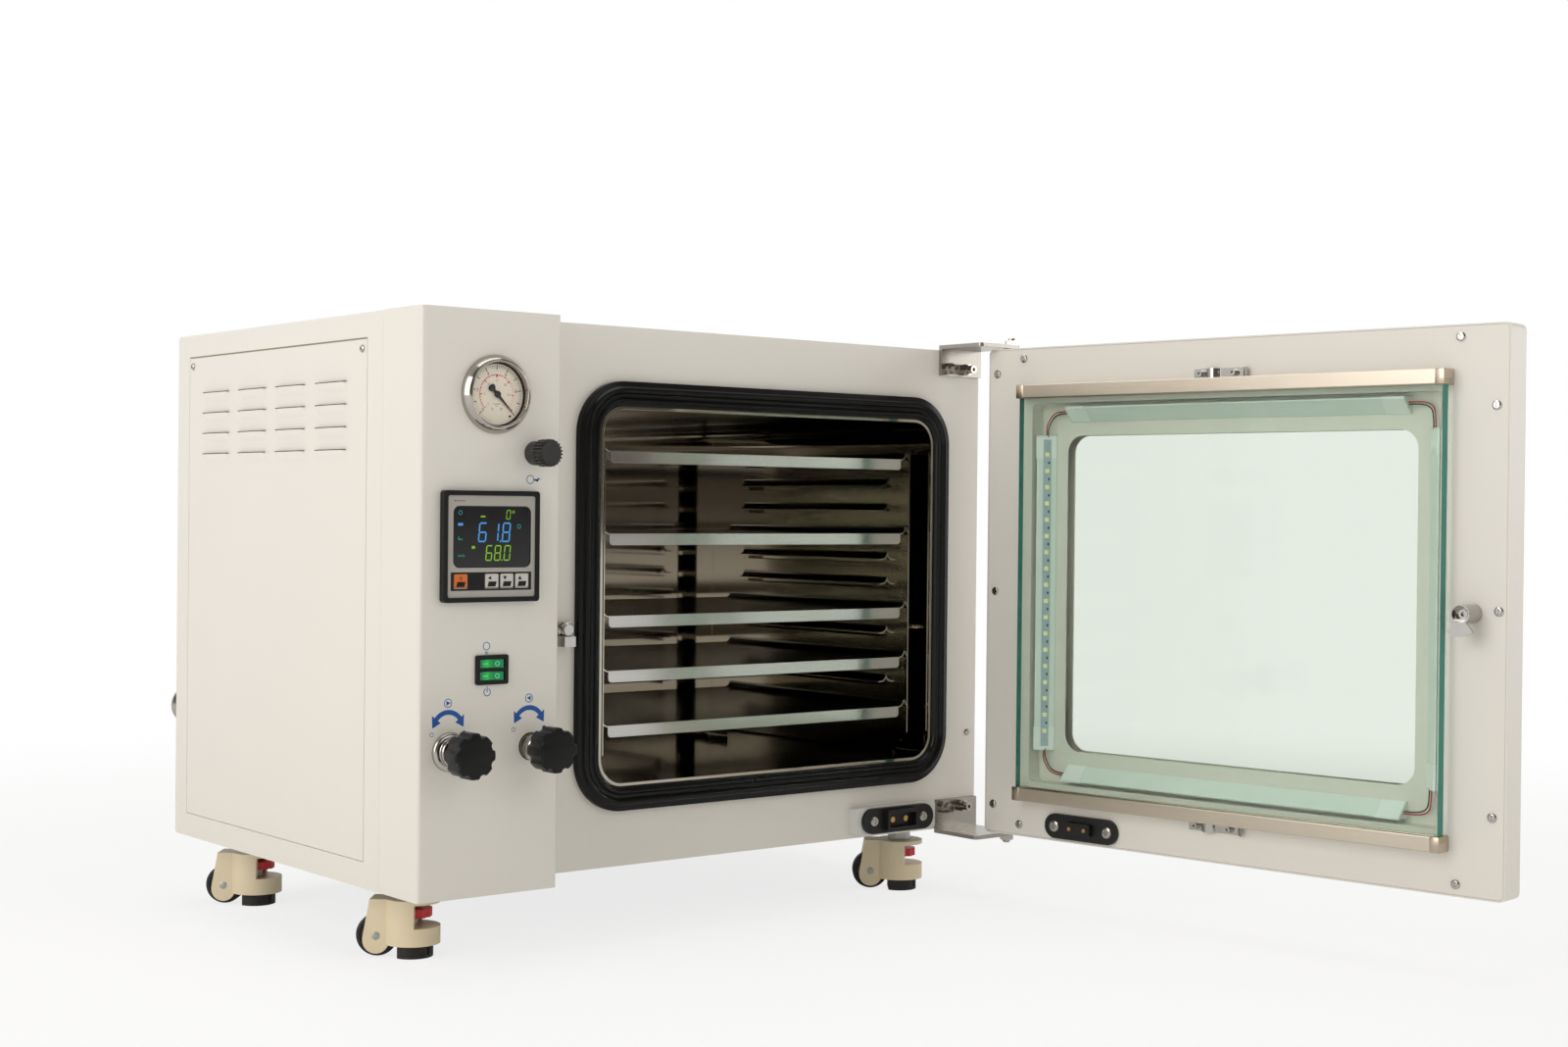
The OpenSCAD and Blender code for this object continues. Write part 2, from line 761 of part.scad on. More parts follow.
module valve_knob(x) {
  translate([x, 0, valve_z]) rotate([90, 0, 0]) difference() {
    rotate_extrude($fn = 64)
      polygon([[stem_r + fit_gap, 19], [11, 19], [11, knob_in],
        [knob_r - 1, knob_in], [knob_r, knob_in + 1.5],
        [knob_r, knob_out - 3], [knob_r - 3, knob_out], [0, knob_out],
        [0, stem_out + 0.3], [stem_r + fit_gap, stem_out + 0.3]]);
    for (i = [0:knob_lobes - 1]) rotate(i * 360 / knob_lobes)
      translate([knob_r + 2.2, 0, knob_in - 1])
        cylinder(r = 4.2, h = knob_out - knob_in + 2, $fn = 24);
  }
}

module pump_knob() { color(black) placed() valve_knob(pump_x); }
module inlet_knob() { color(black) placed() valve_knob(inlet_x); }

// ---- vacuum pipes and mains inlet ----

riser_y = 110;                           // riser behind the column
cross_y = 26;
port_y = body_d + port_reach;
port_pipe = port_r + 2;
port_deep = 60;
nozzle_r = 5;

module vacuum_pipework() {
  tub_x = chamber_x - tub_w / 2;
  color(steel) placed() difference() {
    union() {
      translate([gauge_x, riser_y, valve_z])
        cylinder(r = pipe_r, h = gauge_z - valve_z);
      hole_y(gauge_x, gauge_z, pipe_r, 30, riser_y);
      hole_y(gauge_x, valve_z, pipe_r - 2, cross_y, riser_y);
      for (z = [valve_z, gauge_z]) translate([gauge_x, riser_y, z])
        sphere(pipe_r);
      translate([gauge_x, riser_y, chamber_z]) rotate([0, 90, 0])
        cylinder(r = pipe_r, h = tub_x - gauge_x);
      translate([pump_x + pump_block / 2, cross_y, valve_z])
        rotate([0, 90, 0])
          cylinder(r = pipe_r - 2,
            h = inlet_x - pump_x - (pump_block + inlet_block) / 2);
      hole_y(pump_x, valve_z, pipe_r, pump_block_y1, body_d - port_deep);
      translate([pump_x, body_d, valve_z]) rotate([-90, 0, 0])
        rotate_extrude()
          polygon([[0, -port_deep], [port_pipe, -port_deep],
            [port_pipe, port_reach - 6], [20, port_reach - 3],
            [20, port_reach], [0, port_reach]]);
    }
    hole_y(pump_x, valve_z, port_r, port_y - port_deep, port_y + 1);
  }
}

module power_inlet() {
  color(black) placed() difference() {
    union() {
      along_y(body_d, body_d + 3)
        translate([inlet_socket_x, inlet_socket_z])
          rounded(inlet_socket_w + 6, inlet_socket_h + 4, 3);
      along_y(body_d - 24, body_d)
        translate([inlet_socket_x, inlet_socket_z])
          square([inlet_socket_w - 0.6, inlet_socket_h - 0.6],
            center = true);
    }
    along_y(body_d - 16, body_d + 4)
      translate([inlet_socket_x, inlet_socket_z]) square([24, 16.5],
        center = true);
  }
  color(steel) placed() for (i = [-1:1])
    translate([inlet_socket_x + 7 * i - 1, body_d - 17,
      inlet_socket_z - 2 + (i == 0 ? 2 : -2)]) cube([2, 14, 4]);
}

// ---- chamber ----

module chamber() {
  color(steel) placed() difference() {
    union() {
      along_y(recess - rim_out, chamber_back + chamber_wall)
        translate([chamber_x, chamber_z]) rounded(tub_w, tub_h, tub_r);
      along_y(flange_y, flange_y + flange_t)
        translate([chamber_x, chamber_z])
          rounded(tub_w + 2 * flange_w, tub_h + 2 * flange_w, tub_r + 20);
    }
    along_y(recess - rim_out - 1, chamber_back)
      translate([chamber_x, chamber_z])
        rounded(chamber_w, chamber_h, chamber_r);
    translate([chamber_x - chamber_w / 2 - chamber_wall - 1, riser_y,
      chamber_z]) rotate([0, 90, 0])
        cylinder(r = nozzle_r, h = chamber_wall + 2);
  }
}

mat_y0 = 150;
mat_hole = 30;                           // mats stop short of the corners
lag_in = mat_gap + mat_t + 0.3;
lag_y0 = flange_y + flange_t + 0.5;
lag_y1 = chamber_back + chamber_wall + 44;

module heater_mats() {
  color([0.75, 0.4, 0.25]) placed() {
    along_y(mat_y0, chamber_back - 10) translate([chamber_x, chamber_z])
      for (s = [-1, 1]) {
        translate([s * (tub_w / 2 + mat_gap + mat_t / 2), 0])
          square([mat_t, tub_h - 2 * mat_hole], center = true);
        translate([0, s * (tub_h / 2 + mat_gap + mat_t / 2)])
          square([tub_w - 2 * mat_hole, mat_t], center = true);
      }
  }
}

module insulation() {
  color([0.9, 0.85, 0.6]) placed() difference() {
    along_y(lag_y0, lag_y1) translate([chamber_x, chamber_z])
      rounded(tub_w + 2 * lagging_t, tub_h + 2 * lagging_t, 30);
    along_y(lag_y0 - 1, chamber_back + chamber_wall + mat_gap)
      translate([chamber_x, chamber_z])
        rounded(tub_w + 2 * lag_in, tub_h + 2 * lag_in, tub_r);
    translate([chamber_x - tub_w / 2 - lagging_t - 1, riser_y, chamber_z])
      rotate([0, 90, 0]) cylinder(r = pipe_r + 1, h = lagging_t + 2);
  }
}

// sealing rings: inner and outer distance from the band's edge, height
function seal_steps() = [[0, 5.5, rim_out], [5.5, 8, gasket_h - 3.4],
    [8, 9.4, gasket_h - 1.6], [9.4, 12, gasket_h],
    [12, 13.4, gasket_h - 1.8], [13.4, 14.8, gasket_h - 3.1],
    [14.8, 16.2, gasket_h - 2.7], [16.2, 17.6, gasket_h - 3.1],
    [17.6, 18.8, gasket_h - 1.6], [18.8, 21, gasket_h],
    [21, 22.2, gasket_h - 2], [22.2, gasket_w - 0.1, gasket_h - 3.6]];

module door_gasket() {
  color(black) placed() for (g = seal_steps()) {
    along_y(recess - g[2], recess) translate([chamber_x, chamber_z])
      difference() {
        seal_outline(g[0]);
        seal_outline(g[1]);
      }
  }
}

module seal_outline(inset) {
  grow = 2 * (gasket_w - inset);
  rounded(tub_w + grow, tub_h + grow, tub_r + grow / 2);
}

// ---- racks and shelves ----

rack_y0 = shelf_y - 4;
rack_y1 = shelf_y + shelf_d + 4;
rack_z0 = chamber_z - chamber_h / 2 + 2.2;
rack_z1 = runner_z + (runner_count - 1) * runner_pitch + runner_r;
rack_cut = 22;                           // lower front corner
slot_y0 = rack_y0 + 33;
slot_y1 = rack_y1 - 28;
bend_x = rack_x + shelf_t - runner_r;    // centre of the bends
stud_r = 3;
stud_spots = [[8, 0.42], [23, 0.145], [298, 0.145], [298, 0.96]];

function runner_at(i) = runner_z + i * runner_pitch;

// quarter bend of the outer radius r, its axis at the origin
module bend(r) {
  intersection() {
    difference() {
      circle(r);
      circle(r - shelf_t);
    }
    translate([0, -r]) square([r, r]);
  }
}

module rack_side() {
  difference() {
    along_x(rack_x, rack_x + shelf_t)
      polygon([[rack_y0, rack_z0 + rack_cut], [rack_y0 + rack_cut, rack_z0],
        [rack_y1, rack_z0], [rack_y1, rack_z1], [rack_y0, rack_z1]]);
    for (i = [0:runner_count - 1])
      translate([rack_x - 1, slot_y0, runner_at(i) - 4])
        cube([shelf_t + 2, slot_y1 - slot_y0, runner_r + 3.4]);
  }
  for (i = [0:runner_count - 1]) along_y(slot_y0, slot_y1)
    translate([bend_x, runner_at(i) + runner_r]) {
      bend(runner_r);
      translate([-3, -runner_r]) square([3 + eps, shelf_t]);
    }
  for (p = stud_spots)
    translate([rack_x + shelf_t - eps, rack_y0 + p[0],
      rack_z0 + p[1] * (rack_z1 - rack_z0)]) rotate([0, 90, 0])
        cylinder(r = stud_r, h = rack_gap - shelf_t + eps, $fn = 24);
}

module shelf_racks() {
  color(steel) placed() translate([chamber_x, 0, 0]) {
    rack_side();
    mirror([1, 0, 0]) rack_side();
  }
}

shelf_r = runner_r - shelf_t - nest_gap; // bend nested in the runner's bend

module shelf(i) {
  axis_z = runner_at(shelf_levels[i]) + runner_r;
  translate([chamber_x, 0, axis_z]) {
    along_y(shelf_y, shelf_y + shelf_d) {
      translate([-bend_x, -shelf_r]) square([2 * bend_x, shelf_t]);
      for (s = [0, 1]) mirror([s, 0]) translate([bend_x, 0])
        bend(shelf_r);
    }
    along_y(shelf_y, shelf_y + shelf_t) translate([0, -shelf_r]) {
      translate([-bend_x, 4 - shelf_lip])
        square([2 * bend_x, shelf_lip - 4]);
      translate([4 - bend_x, -shelf_lip])
        square([2 * bend_x - 8, 4]);
      for (s = [-1, 1]) translate([s * (bend_x - 4), 4 - shelf_lip])
        circle(4);
    }
  }
}

module shelf_1() { color(steel) placed() shelf(0); }
module shelf_2() { color(steel) placed() shelf(1); }
module shelf_3() { color(steel) placed() shelf(2); }
module shelf_4() { color(steel) placed() shelf(3); }
module shelf_5() { color(steel) placed() shelf(4); }

// ---- fittings on the cabinet front ----

strike_x = latch_x + 4.2;                // round knob of the strike
strike_z = latch_z - tongue_r - 7.5;
strike_x0 = latch_x - 27.3;
strike_x1 = latch_x + 14.5;
strike_t = 3;

function strike_screws() = [[strike_x0 + 6, strike_z - 10],
    [strike_x0 + 6, strike_z + 5]];

module door_strike() {
  arm = latch_x - tongue_r - 1 - strike_x0;
  color(steel) placed() difference() {
    union() {
      translate([strike_x0, recess - strike_t, strike_z - 16])
        cube([strike_x1 - strike_x0, strike_t, 22.5]);
      translate([strike_x0, recess - strike_t, strike_z])
        cube([arm, strike_t, latch_z - 3 - strike_z]);
      translate([strike_x0, recess - 11.5, latch_z - 14])
        cube([arm, 11.5, 11]);
      translate([strike_x0, recess - 11.5, latch_z - 10])
        cube([latch_x - 10.5 - strike_x0, 4, 7]);
      turned_y(strike_x, strike_z, recess - strike_t)
        polygon([[0, -eps], [6.2, -eps], [6.2, 1.5], [4, 3], [4, 5],
          [6, 6], [6, 11], [5, 12], [0, 12]]);
      translate([strike_x - 4, recess - 14, strike_z - 16])
        cube([12, 14, 9.5]);
    }
    for (p = strike_screws())
      hole_y(p[0], p[1], screw_clear, recess - strike_t - 1, recess + 1);
  }
}

// lamp contacts low on the cabinet front
lamp_x = hinge_x - 124.5;
lamp_z = 18;
lamp_gap = 0.7;                          // shut contacts stay this far apart
hood_y0 = recess - 23.5;
hood_y1 = recess - 16;
lamp_pin_y = hood_y1 - 1 - lamp_gap;
pin_space = 18;

module lamp_socket() {
  color([0.9, 0.9, 0.88]) placed() along_y(recess - 12, recess)
    translate([lamp_x, lamp_z]) rounded(110, 27, 3);
  color(black) placed() difference() {
    union() {
      along_y(recess - 17, recess - 12) translate([lamp_x, lamp_z])
        stadium(96, 26);
      along_y(hood_y0, recess - 17) translate([lamp_x, lamp_z])
        rounded(42, 21, 2);
    }
    along_y(hood_y0 - 1, hood_y1) translate([lamp_x, lamp_z])
      square([36, 14], center = true);
  }
  color(steel) placed() {
    for (s = [-1, 1]) {
      hole_y(lamp_x + s * pin_space / 2, lamp_z, 3, hood_y1 - 1,
        hood_y1 + eps);
      translate([lamp_x + s * 34, recess - 17, lamp_z])
        rotate([90, 0, 0]) flat_screw(5);
    }
  }
}

// ---- hinges ----

hinge_top_z = body_h + 1;                // underside of the upper arm
bracket_hole = pin_r + 0.1;
boss_h = 16;
pin_l = 13.7;

module bracket_arm() {
  difference() {
    union() {
      translate([bracket_x0, door_front + 4, 0])
        cube([bracket_w, recess - door_front - 4, bracket_t]);
      translate([bracket_x0 + 4, door_front, 0])
        cube([bracket_w - 8, 4 + eps, bracket_t]);
      for (x = [bracket_x0 + 4, bracket_x1 - 4])
        translate([x, door_front + 4, 0])
          cylinder(r = 4, h = bracket_t);
    }
    translate([pivot_x, pivot_y, -1])
      cylinder(r = bracket_hole, h = bracket_t + 2);
  }
}

module hinge_brackets() {
  color(steel) placed() {
    translate([0, 0, hinge_top_z]) bracket_arm();
    translate([0, 0, -bracket_t]) bracket_arm();
    difference() {
      union() {
        along_y(recess - bracket_t, recess)
          bracket_leg(bolt_top_z - 7.5, hinge_top_z + eps);
        along_y(recess - bracket_t, recess)
          bracket_leg(-eps, bolt_low_z + 8);
      }
      for (p = hinge_bolts())
        hole_y(p[0], p[1], bolt_clear, recess - bracket_t - 1, recess + 1);
    }
  }
}

module bracket_leg(z0, z1) {
  translate([bracket_x0, z0]) square([bracket_w, z1 - z0]);
}

// hinge pin: nut and stud end above z = 0, arm, collar and pin below
module hinge_pin() {
  gap = hinge_top_z - door_z1;
  rotate_extrude()
    polygon([[0, -bracket_t - gap - pin_l], [pin_r - 0.6,
      -bracket_t - gap - pin_l], [pin_r, -bracket_t - gap - pin_l + 0.6],
      [pin_r, -bracket_t - gap + 0.1], [8, -bracket_t - gap + 0.1],
      [8, -bracket_t], [pin_r, -bracket_t], [pin_r, 6.5],
      [pin_r - 1, 7.5], [0, 7.5]]);
  cylinder(r = 7.2, h = 4.5, $fn = 6);
}

module cabinet_fasteners() {
  color([0.7, 0.69, 0.67]) placed() {
    translate([pivot_x, pivot_y, hinge_top_z + bracket_t]) hinge_pin();
    translate([pivot_x, pivot_y, -bracket_t]) mirror([0, 0, 1])
      hinge_pin();
    for (p = hinge_bolts()) translate([p[0], recess - bracket_t, p[1]])
      rotate([90, 0, 0]) {
        difference() {
          cylinder(r = 6, h = 7, $fn = 32);
          translate([0, 0, -1]) cylinder(r = bolt_r, h = 9, $fn = 32);
        }
        translate([0, 0, 7])
          socket_bolt(bolt_r, 4.25, 5.8, 7 + bracket_t + wall + 4, $fn = 32);
      }
    translate([front_screw[0], recess, front_screw[1]])
      rotate([90, 0, 0]) panel_screw();
    for (p = strike_screws()) translate([p[0], recess - strike_t, p[1]])
      rotate([90, 0, 0]) panel_screw(shank_l = strike_t + wall - 0.1);
    for (p = panel_screws()) translate([0, p[0], p[1]])
      rotate([0, -90, 0]) panel_screw();
    for (p = back_screws()) translate([p[0], body_d, p[1]])
      rotate([-90, 0, 0]) panel_screw();
  }
}

// ---- casters: the wheel side points along local +X ----

drum_r = 25;
drum_z0 = -58;
drum_z1 = -post_l - 0.3;
axle_z = wheel_r + 1 - floor_gap;
axle_r = 3;
fork_w = wheel_w / 2 + 4.2;
cheek_r = 12;
stem_bore = post_pin_r + fit_gap;
dial_z0 = -34;
dial_z1 = -26;
dial_r = 17.5;
pad_z1 = -floor_gap + 12.5;
pad_flat = trail - wheel_r - 0.5;
foot_travel = 4.5;

module caster_spot_at(i) {
  placed() translate([caster_spot(i)[0], caster_spot(i)[1], 0])
    rotate(caster_turn) children();
}

module caster_frame(i) {
  color(nylon) caster_spot_at(i) {
    difference() {
      union() {
        translate([0, 0, drum_z0])
          cylinder(r = drum_r, h = drum_z1 - drum_z0);
        rotate([90, 0, 0]) linear_extrude(2 * fork_w, center = true) {
          polygon([[0, drum_z1], [trail + 6, drum_z1],
            [trail + cheek_r, axle_z - 2], [trail + cheek_r, axle_z - 4],
            [trail, axle_z - 4], [trail, drum_z0], [0, drum_z0]]);
          translate([trail, axle_z - 4]) circle(cheek_r);
        }
      }
      translate([0, 0, drum_z1 - 5]) cylinder(r = stem_bore, h = 6);
      translate([0, 0, -42]) cylinder(r = dial_r + 1, h = 21);
      translate([-drum_r - 1, -drum_r, -42])
        cube([drum_r - 4, 2 * drum_r, 21]);
      translate([0, 0, -51]) cylinder(r = stem_bore, h = 10);
      translate([0, 0, drum_z0 - 1])
        cylinder(r = foot_r + 0.5, h = -50 - drum_z0 + 1);
      translate([trail, 0, axle_z]) rotate([90, 0, 0])
        cylinder(r = wheel_r + 1.3, h = wheel_w + 2 * caster_gap,
          center = true, $fn = 64);
    }
    translate([trail, 0, axle_z]) rotate([90, 0, 0])
      cylinder(r = axle_r, h = 2 * fork_w - 1, center = true);
  }
}

module caster_wheel(i) {
  color(black) caster_spot_at(i) translate([trail, 0, axle_z])
    rotate([90, 0, 0]) difference() {
      rotate_extrude($fn = 64)
        polygon([[axle_r + fit_gap, -wheel_w / 2], [wheel_r - 1.5,
          -wheel_w / 2], [wheel_r, -wheel_w / 2 + 1.5],
          [wheel_r, wheel_w / 2 - 1.5], [wheel_r - 1.5, wheel_w / 2],
          [axle_r + fit_gap, wheel_w / 2]]);
    }
}

module caster_foot(i) {
  color([0.6, 0.12, 0.1]) caster_spot_at(i) {
    difference() {
      translate([0, 0, -floor_gap])
        cylinder(r = foot_r, h = pad_z1 + floor_gap);
      translate([pad_flat, -foot_r - 1, -floor_gap - 1])
        cube([foot_r, 2 * foot_r + 2, 20]);
      for (s = [-1, 1]) rotate(180 + s * 32)
        translate([foot_r - 1.6, -1.5, -floor_gap + 3]) cube([4, 3, 12]);
    }
    translate([0, 0, pad_z1 - eps])
      cylinder(r = post_pin_r, h = dial_z1 - pad_z1 + eps);
    difference() {
      translate([0, 0, dial_z0]) cylinder(r = dial_r, h = dial_z1 - dial_z0);
      for (a = [0:30:330]) rotate(a)
        translate([dial_r + 1.2, 0, dial_z0 - 1])
          cylinder(r = 2.6, h = 12, $fn = 16);
    }
  }
}

module caster_frame_1() { caster_frame(0); }
module caster_frame_2() { caster_frame(1); }
module caster_frame_3() { caster_frame(2); }
module caster_frame_4() { caster_frame(3); }
module caster_wheel_1() { caster_wheel(0); }
module caster_wheel_2() { caster_wheel(1); }
module caster_wheel_3() { caster_wheel(2); }
module caster_wheel_4() { caster_wheel(3); }
module caster_foot_1() { caster_foot(0); }
module caster_foot_2() { caster_foot(1); }
module caster_foot_3() { caster_foot(2); }
module caster_foot_4() { caster_foot(3); }

// ---- door ----

door_mid = [hinge_x - door_w / 2, (door_z0 + door_z1) / 2];
spindle_r = 6;
spindle_clear = 6.1;
ledge = 16;                              // rim that carries the door liner
liner_gap = 0.3;
tray_w = window_w + 63;
tray_h = window_h + 66;

// screws round the liner, measured from the hinge edge and the underside
function liner_screws() = [[45, door_z1 - 11], [11, door_z1 - 26],
    [11, chamber_z], [11, door_z0 + 30], [45, door_z0 + 12],
    [door_w - 46.5, door_z1 - 11], [door_w - 12.5, door_z1 - 72],
    [door_w - 8.5, chamber_z + 0.6], [door_w - 12.5, door_z0 + 73],
    [door_w - 45.5, door_z0 + 11]];

module door_outline(inset) {
  translate(door_mid)
    rounded(door_w - 2 * inset, door_h - 2 * inset, door_r - inset);
}

module window_outline(grow = 0) {
  translate([chamber_x, chamber_z])
    rounded(window_w + 2 * grow, window_h + 2 * grow, window_r + grow);
}

module door_shell() {
  x0 = hinge_x - door_w + door_r;
  x1 = hinge_x - door_r;
  z0 = door_z0 + door_r;
  z1 = door_z1 - door_r;
  y = door_front + door_r;
  color(paint) on_door() {
    difference() {
      union() {
        along_y(y, door_y) door_outline(0);
        translate([x0, door_front, z0])
          cube([x1 - x0, door_r + eps, z1 - z0]);
        for (x = [x0, x1]) translate([x, y, z0])
          cylinder(r = door_r, h = z1 - z0);
        for (z = [z0, z1]) translate([x0, y, z]) rotate([0, 90, 0])
          cylinder(r = door_r, h = x1 - x0);
        for (x = [x0, x1], z = [z0, z1]) translate([x, y, z])
          sphere(door_r);
      }
      difference() {
        union() {
          translate([x0, door_front + wall, z0])
            cube([x1 - x0, door_r, z1 - z0]);
          along_y(y, door_y + 1) door_outline(wall);
        }
        along_y(door_y - 2 * wall, door_y - wall) difference() {
          door_outline(wall - eps);
          translate(door_mid)
            square([door_w, door_h] - 2 * (ledge + wall) * [1, 1],
              center = true);
        }
        for (z = [door_z0, door_z1 - boss_h])
          translate([hinge_x - 18, door_front, z])
            cube([18, pin_depth + pin_r + 4, boss_h]);
      }
      along_y(door_front - 1, door_front + door_r) window_outline();
      for (z = [door_z0 - 1, door_z1 - pin_l - 0.5])
        translate([pivot_x, pivot_y, z])
          cylinder(r = pin_r + fit_gap, h = pin_l + 1.5);
      hole_y(latch_x, latch_z, spindle_clear, door_front - 1, door_y);
      for (p = liner_screws())
        hole_y(hinge_x - p[0], p[1], screw_clear, door_y - 3 * wall,
          door_y);
    }
  }
}

module door_liner() {
  color([0.87, 0.83, 0.77]) on_door() difference() {
    union() {
      along_y(door_y - wall, door_y) door_outline(wall + liner_gap);
      along_y(door_y - tray_d - wall, door_y - eps)
        translate([chamber_x, chamber_z])
          rounded(tray_w + 2 * wall, tray_h + 2 * wall, 6 + wall);
    }
    along_y(door_y - tray_d, door_y + 1) translate([chamber_x, chamber_z])
      rounded(tray_w, tray_h, 6);
    along_y(door_y - tray_d - wall - 1, door_y + 1) window_outline();
    hole_y(latch_x, latch_z, spindle_clear, door_y - 2 * wall, door_y + 1);
    for (p = liner_screws())
      hole_y(hinge_x - p[0], p[1], screw_clear, door_y - 2 * wall,
        door_y + 1);
    for (p = clip_screws())
      hole_y(p[0], p[1], screw_clear, door_y - 2 * wall, door_y + 1);
    for (p = plug_screws())
      hole_y(p[0], p[1], screw_clear, door_y - 2 * wall, door_y + 1);
  }
}

module window_pane() {
  y = door_front + wall;
  color([0.8, 0.9, 0.85, 0.3]) on_door() along_y(y, y + pane_t)
    window_outline(10);
}

glass_y = door_y + glass_stand;
bar_w = 13.5;                            // face width of the glass bars
bar_lap = 5;                             // glass held inside a bar
bar_y = glass_y + glass_t + 2;
bar_l = glass_w + 6;

module inner_glass() {
  color([0.7, 0.85, 0.78, 0.5]) on_door()
    along_y(glass_y, glass_y + glass_t) translate([chamber_x, chamber_z])
      square([glass_w, glass_h], center = true);
}

module glass_bars() {
  color([0.78, 0.72, 0.62]) on_door() for (s = [-1, 1])
    translate([chamber_x, 0, chamber_z + s * (glass_h / 2 - bar_lap)])
      mirror([0, 0, s < 0 ? 1 : 0]) difference() {
        translate([-bar_l / 2, door_y, 0])
          cube([bar_l, bar_y - door_y, bar_w]);
        translate([-bar_l / 2 - 1, glass_y - 0.1, -1])
          cube([bar_l + 2, glass_t + 0.2, bar_lap + 1.1]);
      }
}

// lamp profiles round the window: triangular strips with end caps
profile_s = 15;
profile_in = 4;
profile_v = window_h - 2;
profile_h = window_w - 16;

module lamp_profile(l) {
  linear_extrude(l, center = true)
    polygon([[0, 0], [profile_s, 0], [profile_s, 1.5], [1.5, profile_s],
      [0, profile_s]]);
  for (s = [0, 1]) mirror([0, 0, s])
    translate([0, 0, l / 2 - eps]) linear_extrude(1.5)
      polygon([[0, 0], [profile_s + 0.5, 0], [profile_s + 0.5, 2],
        [2, profile_s + 0.5], [0, profile_s + 0.5]]);
}

module lamp_profiles() {
  y = door_y - tray_d;
  color([0.93, 0.93, 0.9]) on_door() {
    for (s = [0, 1]) {
      translate([chamber_x, y, chamber_z]) mirror([s, 0, 0])
        translate([-tray_w / 2 + profile_in, 0, 0])
          lamp_profile(profile_v);
      translate([chamber_x, y, chamber_z]) mirror([0, 0, s])
        translate([0, 0, -tray_h / 2 + profile_in])
          rotate([0, -90, 0]) lamp_profile(profile_h);
    }
  }
}

// spring clips that hold the glass bars, and the liner screws
clip_h = 9.5;
clip_t = 1.6;
clip_gap = 0.2;
clip_ends = [-28, 32.4];                 // from the chamber's middle
clip_screw_xs = [-12.2, 24.4];
clip_arch = [10.8, 7.5];                 // place and radius of the full arch
clip_tab = 6;                            // radius of the half arch at the end
clip_z = glass_h / 2 - bar_lap + bar_w + clip_gap + clip_h / 2;

function clip_screws() = [for (s = [-1, 1], x = clip_screw_xs)
    [chamber_x + x, chamber_z + s * clip_z]];

// bent strap from above: flat ends, a full arch and a half arch
module clip_strap() {
  difference() {
    union() {
      translate([clip_ends[0] + clip_tab - clip_t, 0])
        square([clip_ends[1] - clip_ends[0] - clip_tab + clip_t, clip_t]);
      translate([clip_arch[0], 0]) intersection() {
        circle(clip_arch[1]);
        translate([-clip_arch[1], 0])
          square([2 * clip_arch[1], clip_arch[1]]);
      }
      translate([clip_ends[0], 0]) intersection() {
        circle(clip_tab);
        square(clip_tab);
      }
    }
    translate([clip_arch[0], 0]) circle(clip_arch[1] - clip_t);
    translate([clip_ends[0], 0]) circle(clip_tab - clip_t);
  }
}

module door_fittings() {
  color([0.8, 0.79, 0.77]) on_door() {
    for (s = [-1, 1]) translate([chamber_x, door_y, chamber_z + s * clip_z])
      difference() {
        linear_extrude(clip_h, center = true) clip_strap();
        for (x = clip_screw_xs) hole_y(x, 0, screw_clear, -1, clip_t + 1);
      }
    for (p = clip_screws()) translate([p[0], door_y + clip_t, p[1]])
      rotate([-90, 0, 0])
        socket_bolt(1.6, 3.2, 3.4, clip_t + wall, $fn = 24);
    for (p = liner_screws())
      translate([hinge_x - p[0], door_y, p[1]]) rotate([-90, 0, 0])
        panel_screw(head_r = 4.2);
  }
}

plug_w = 88;
plug_screw_in = 12;

function plug_screws() = [for (s = [-1, 1])
    [lamp_x + s * (plug_w / 2 - plug_screw_in), lamp_z]];

module lamp_plug() {
  color(black) on_door() difference() {
    union() {
      along_y(door_y, door_y + 4) translate([lamp_x, lamp_z])
        stadium(plug_w, 25);
      along_y(door_y, door_y + 10) translate([lamp_x, lamp_z])
        rounded(30, 12, 2);
    }
    for (p = plug_screws())
      hole_y(p[0], p[1], screw_clear, door_y - 1, door_y + 5);
  }
  color(steel) on_door() {
    for (s = [-1, 1])
      hole_y(lamp_x + s * pin_space / 2, lamp_z, 2, door_y + 10 - eps,
        lamp_pin_y);
    for (p = plug_screws()) translate([p[0], door_y + 4, p[1]])
      rotate([-90, 0, 0]) panel_screw(head_r = 5.6, shank_l = 4 + wall);
  }
}

// latch: sleeve with a fan-shaped tongue inside, lever outside
cam_y0 = door_y + 0.5;
cam_y1 = cam_y0 + sleeve_l;
tongue_t = 3;
tongue_half = 38;
sleeve_wall = 1.3;
cam_floor = 14;
cam_bore = 4.05;

module latch_cam() {
  color(steel) on_door() translate([latch_x, cam_y0, latch_z])
    rotate([-90, 0, 0]) {
      rotate_extrude()
        polygon([[cam_bore, 0], [sleeve_r, 0], [sleeve_r, sleeve_l],
          [sleeve_r - sleeve_wall, sleeve_l],
          [sleeve_r - sleeve_wall, cam_floor], [0, cam_floor],
          [0, cam_floor - 4], [cam_bore, cam_floor - 4]]);
      translate([0, 0, cam_floor - eps]) difference() {
        cylinder(r = 4.2, h = 4.5, $fn = 32);
        translate([0, 0, 2]) cylinder(r = 2.3, h = 4, $fn = 6);
      }
      // local +Y points down here
      translate([0, 0, sleeve_l - tongue_t]) linear_extrude(tongue_t)
        difference() {
          intersection() {
            circle(tongue_r);
            polygon([[0, 0], [40 * sin(tongue_half), 40 * cos(tongue_half)],
              [-40 * sin(tongue_half), 40 * cos(tongue_half)]]);
          }
          circle(sleeve_r - 0.5);
        }
    }
}

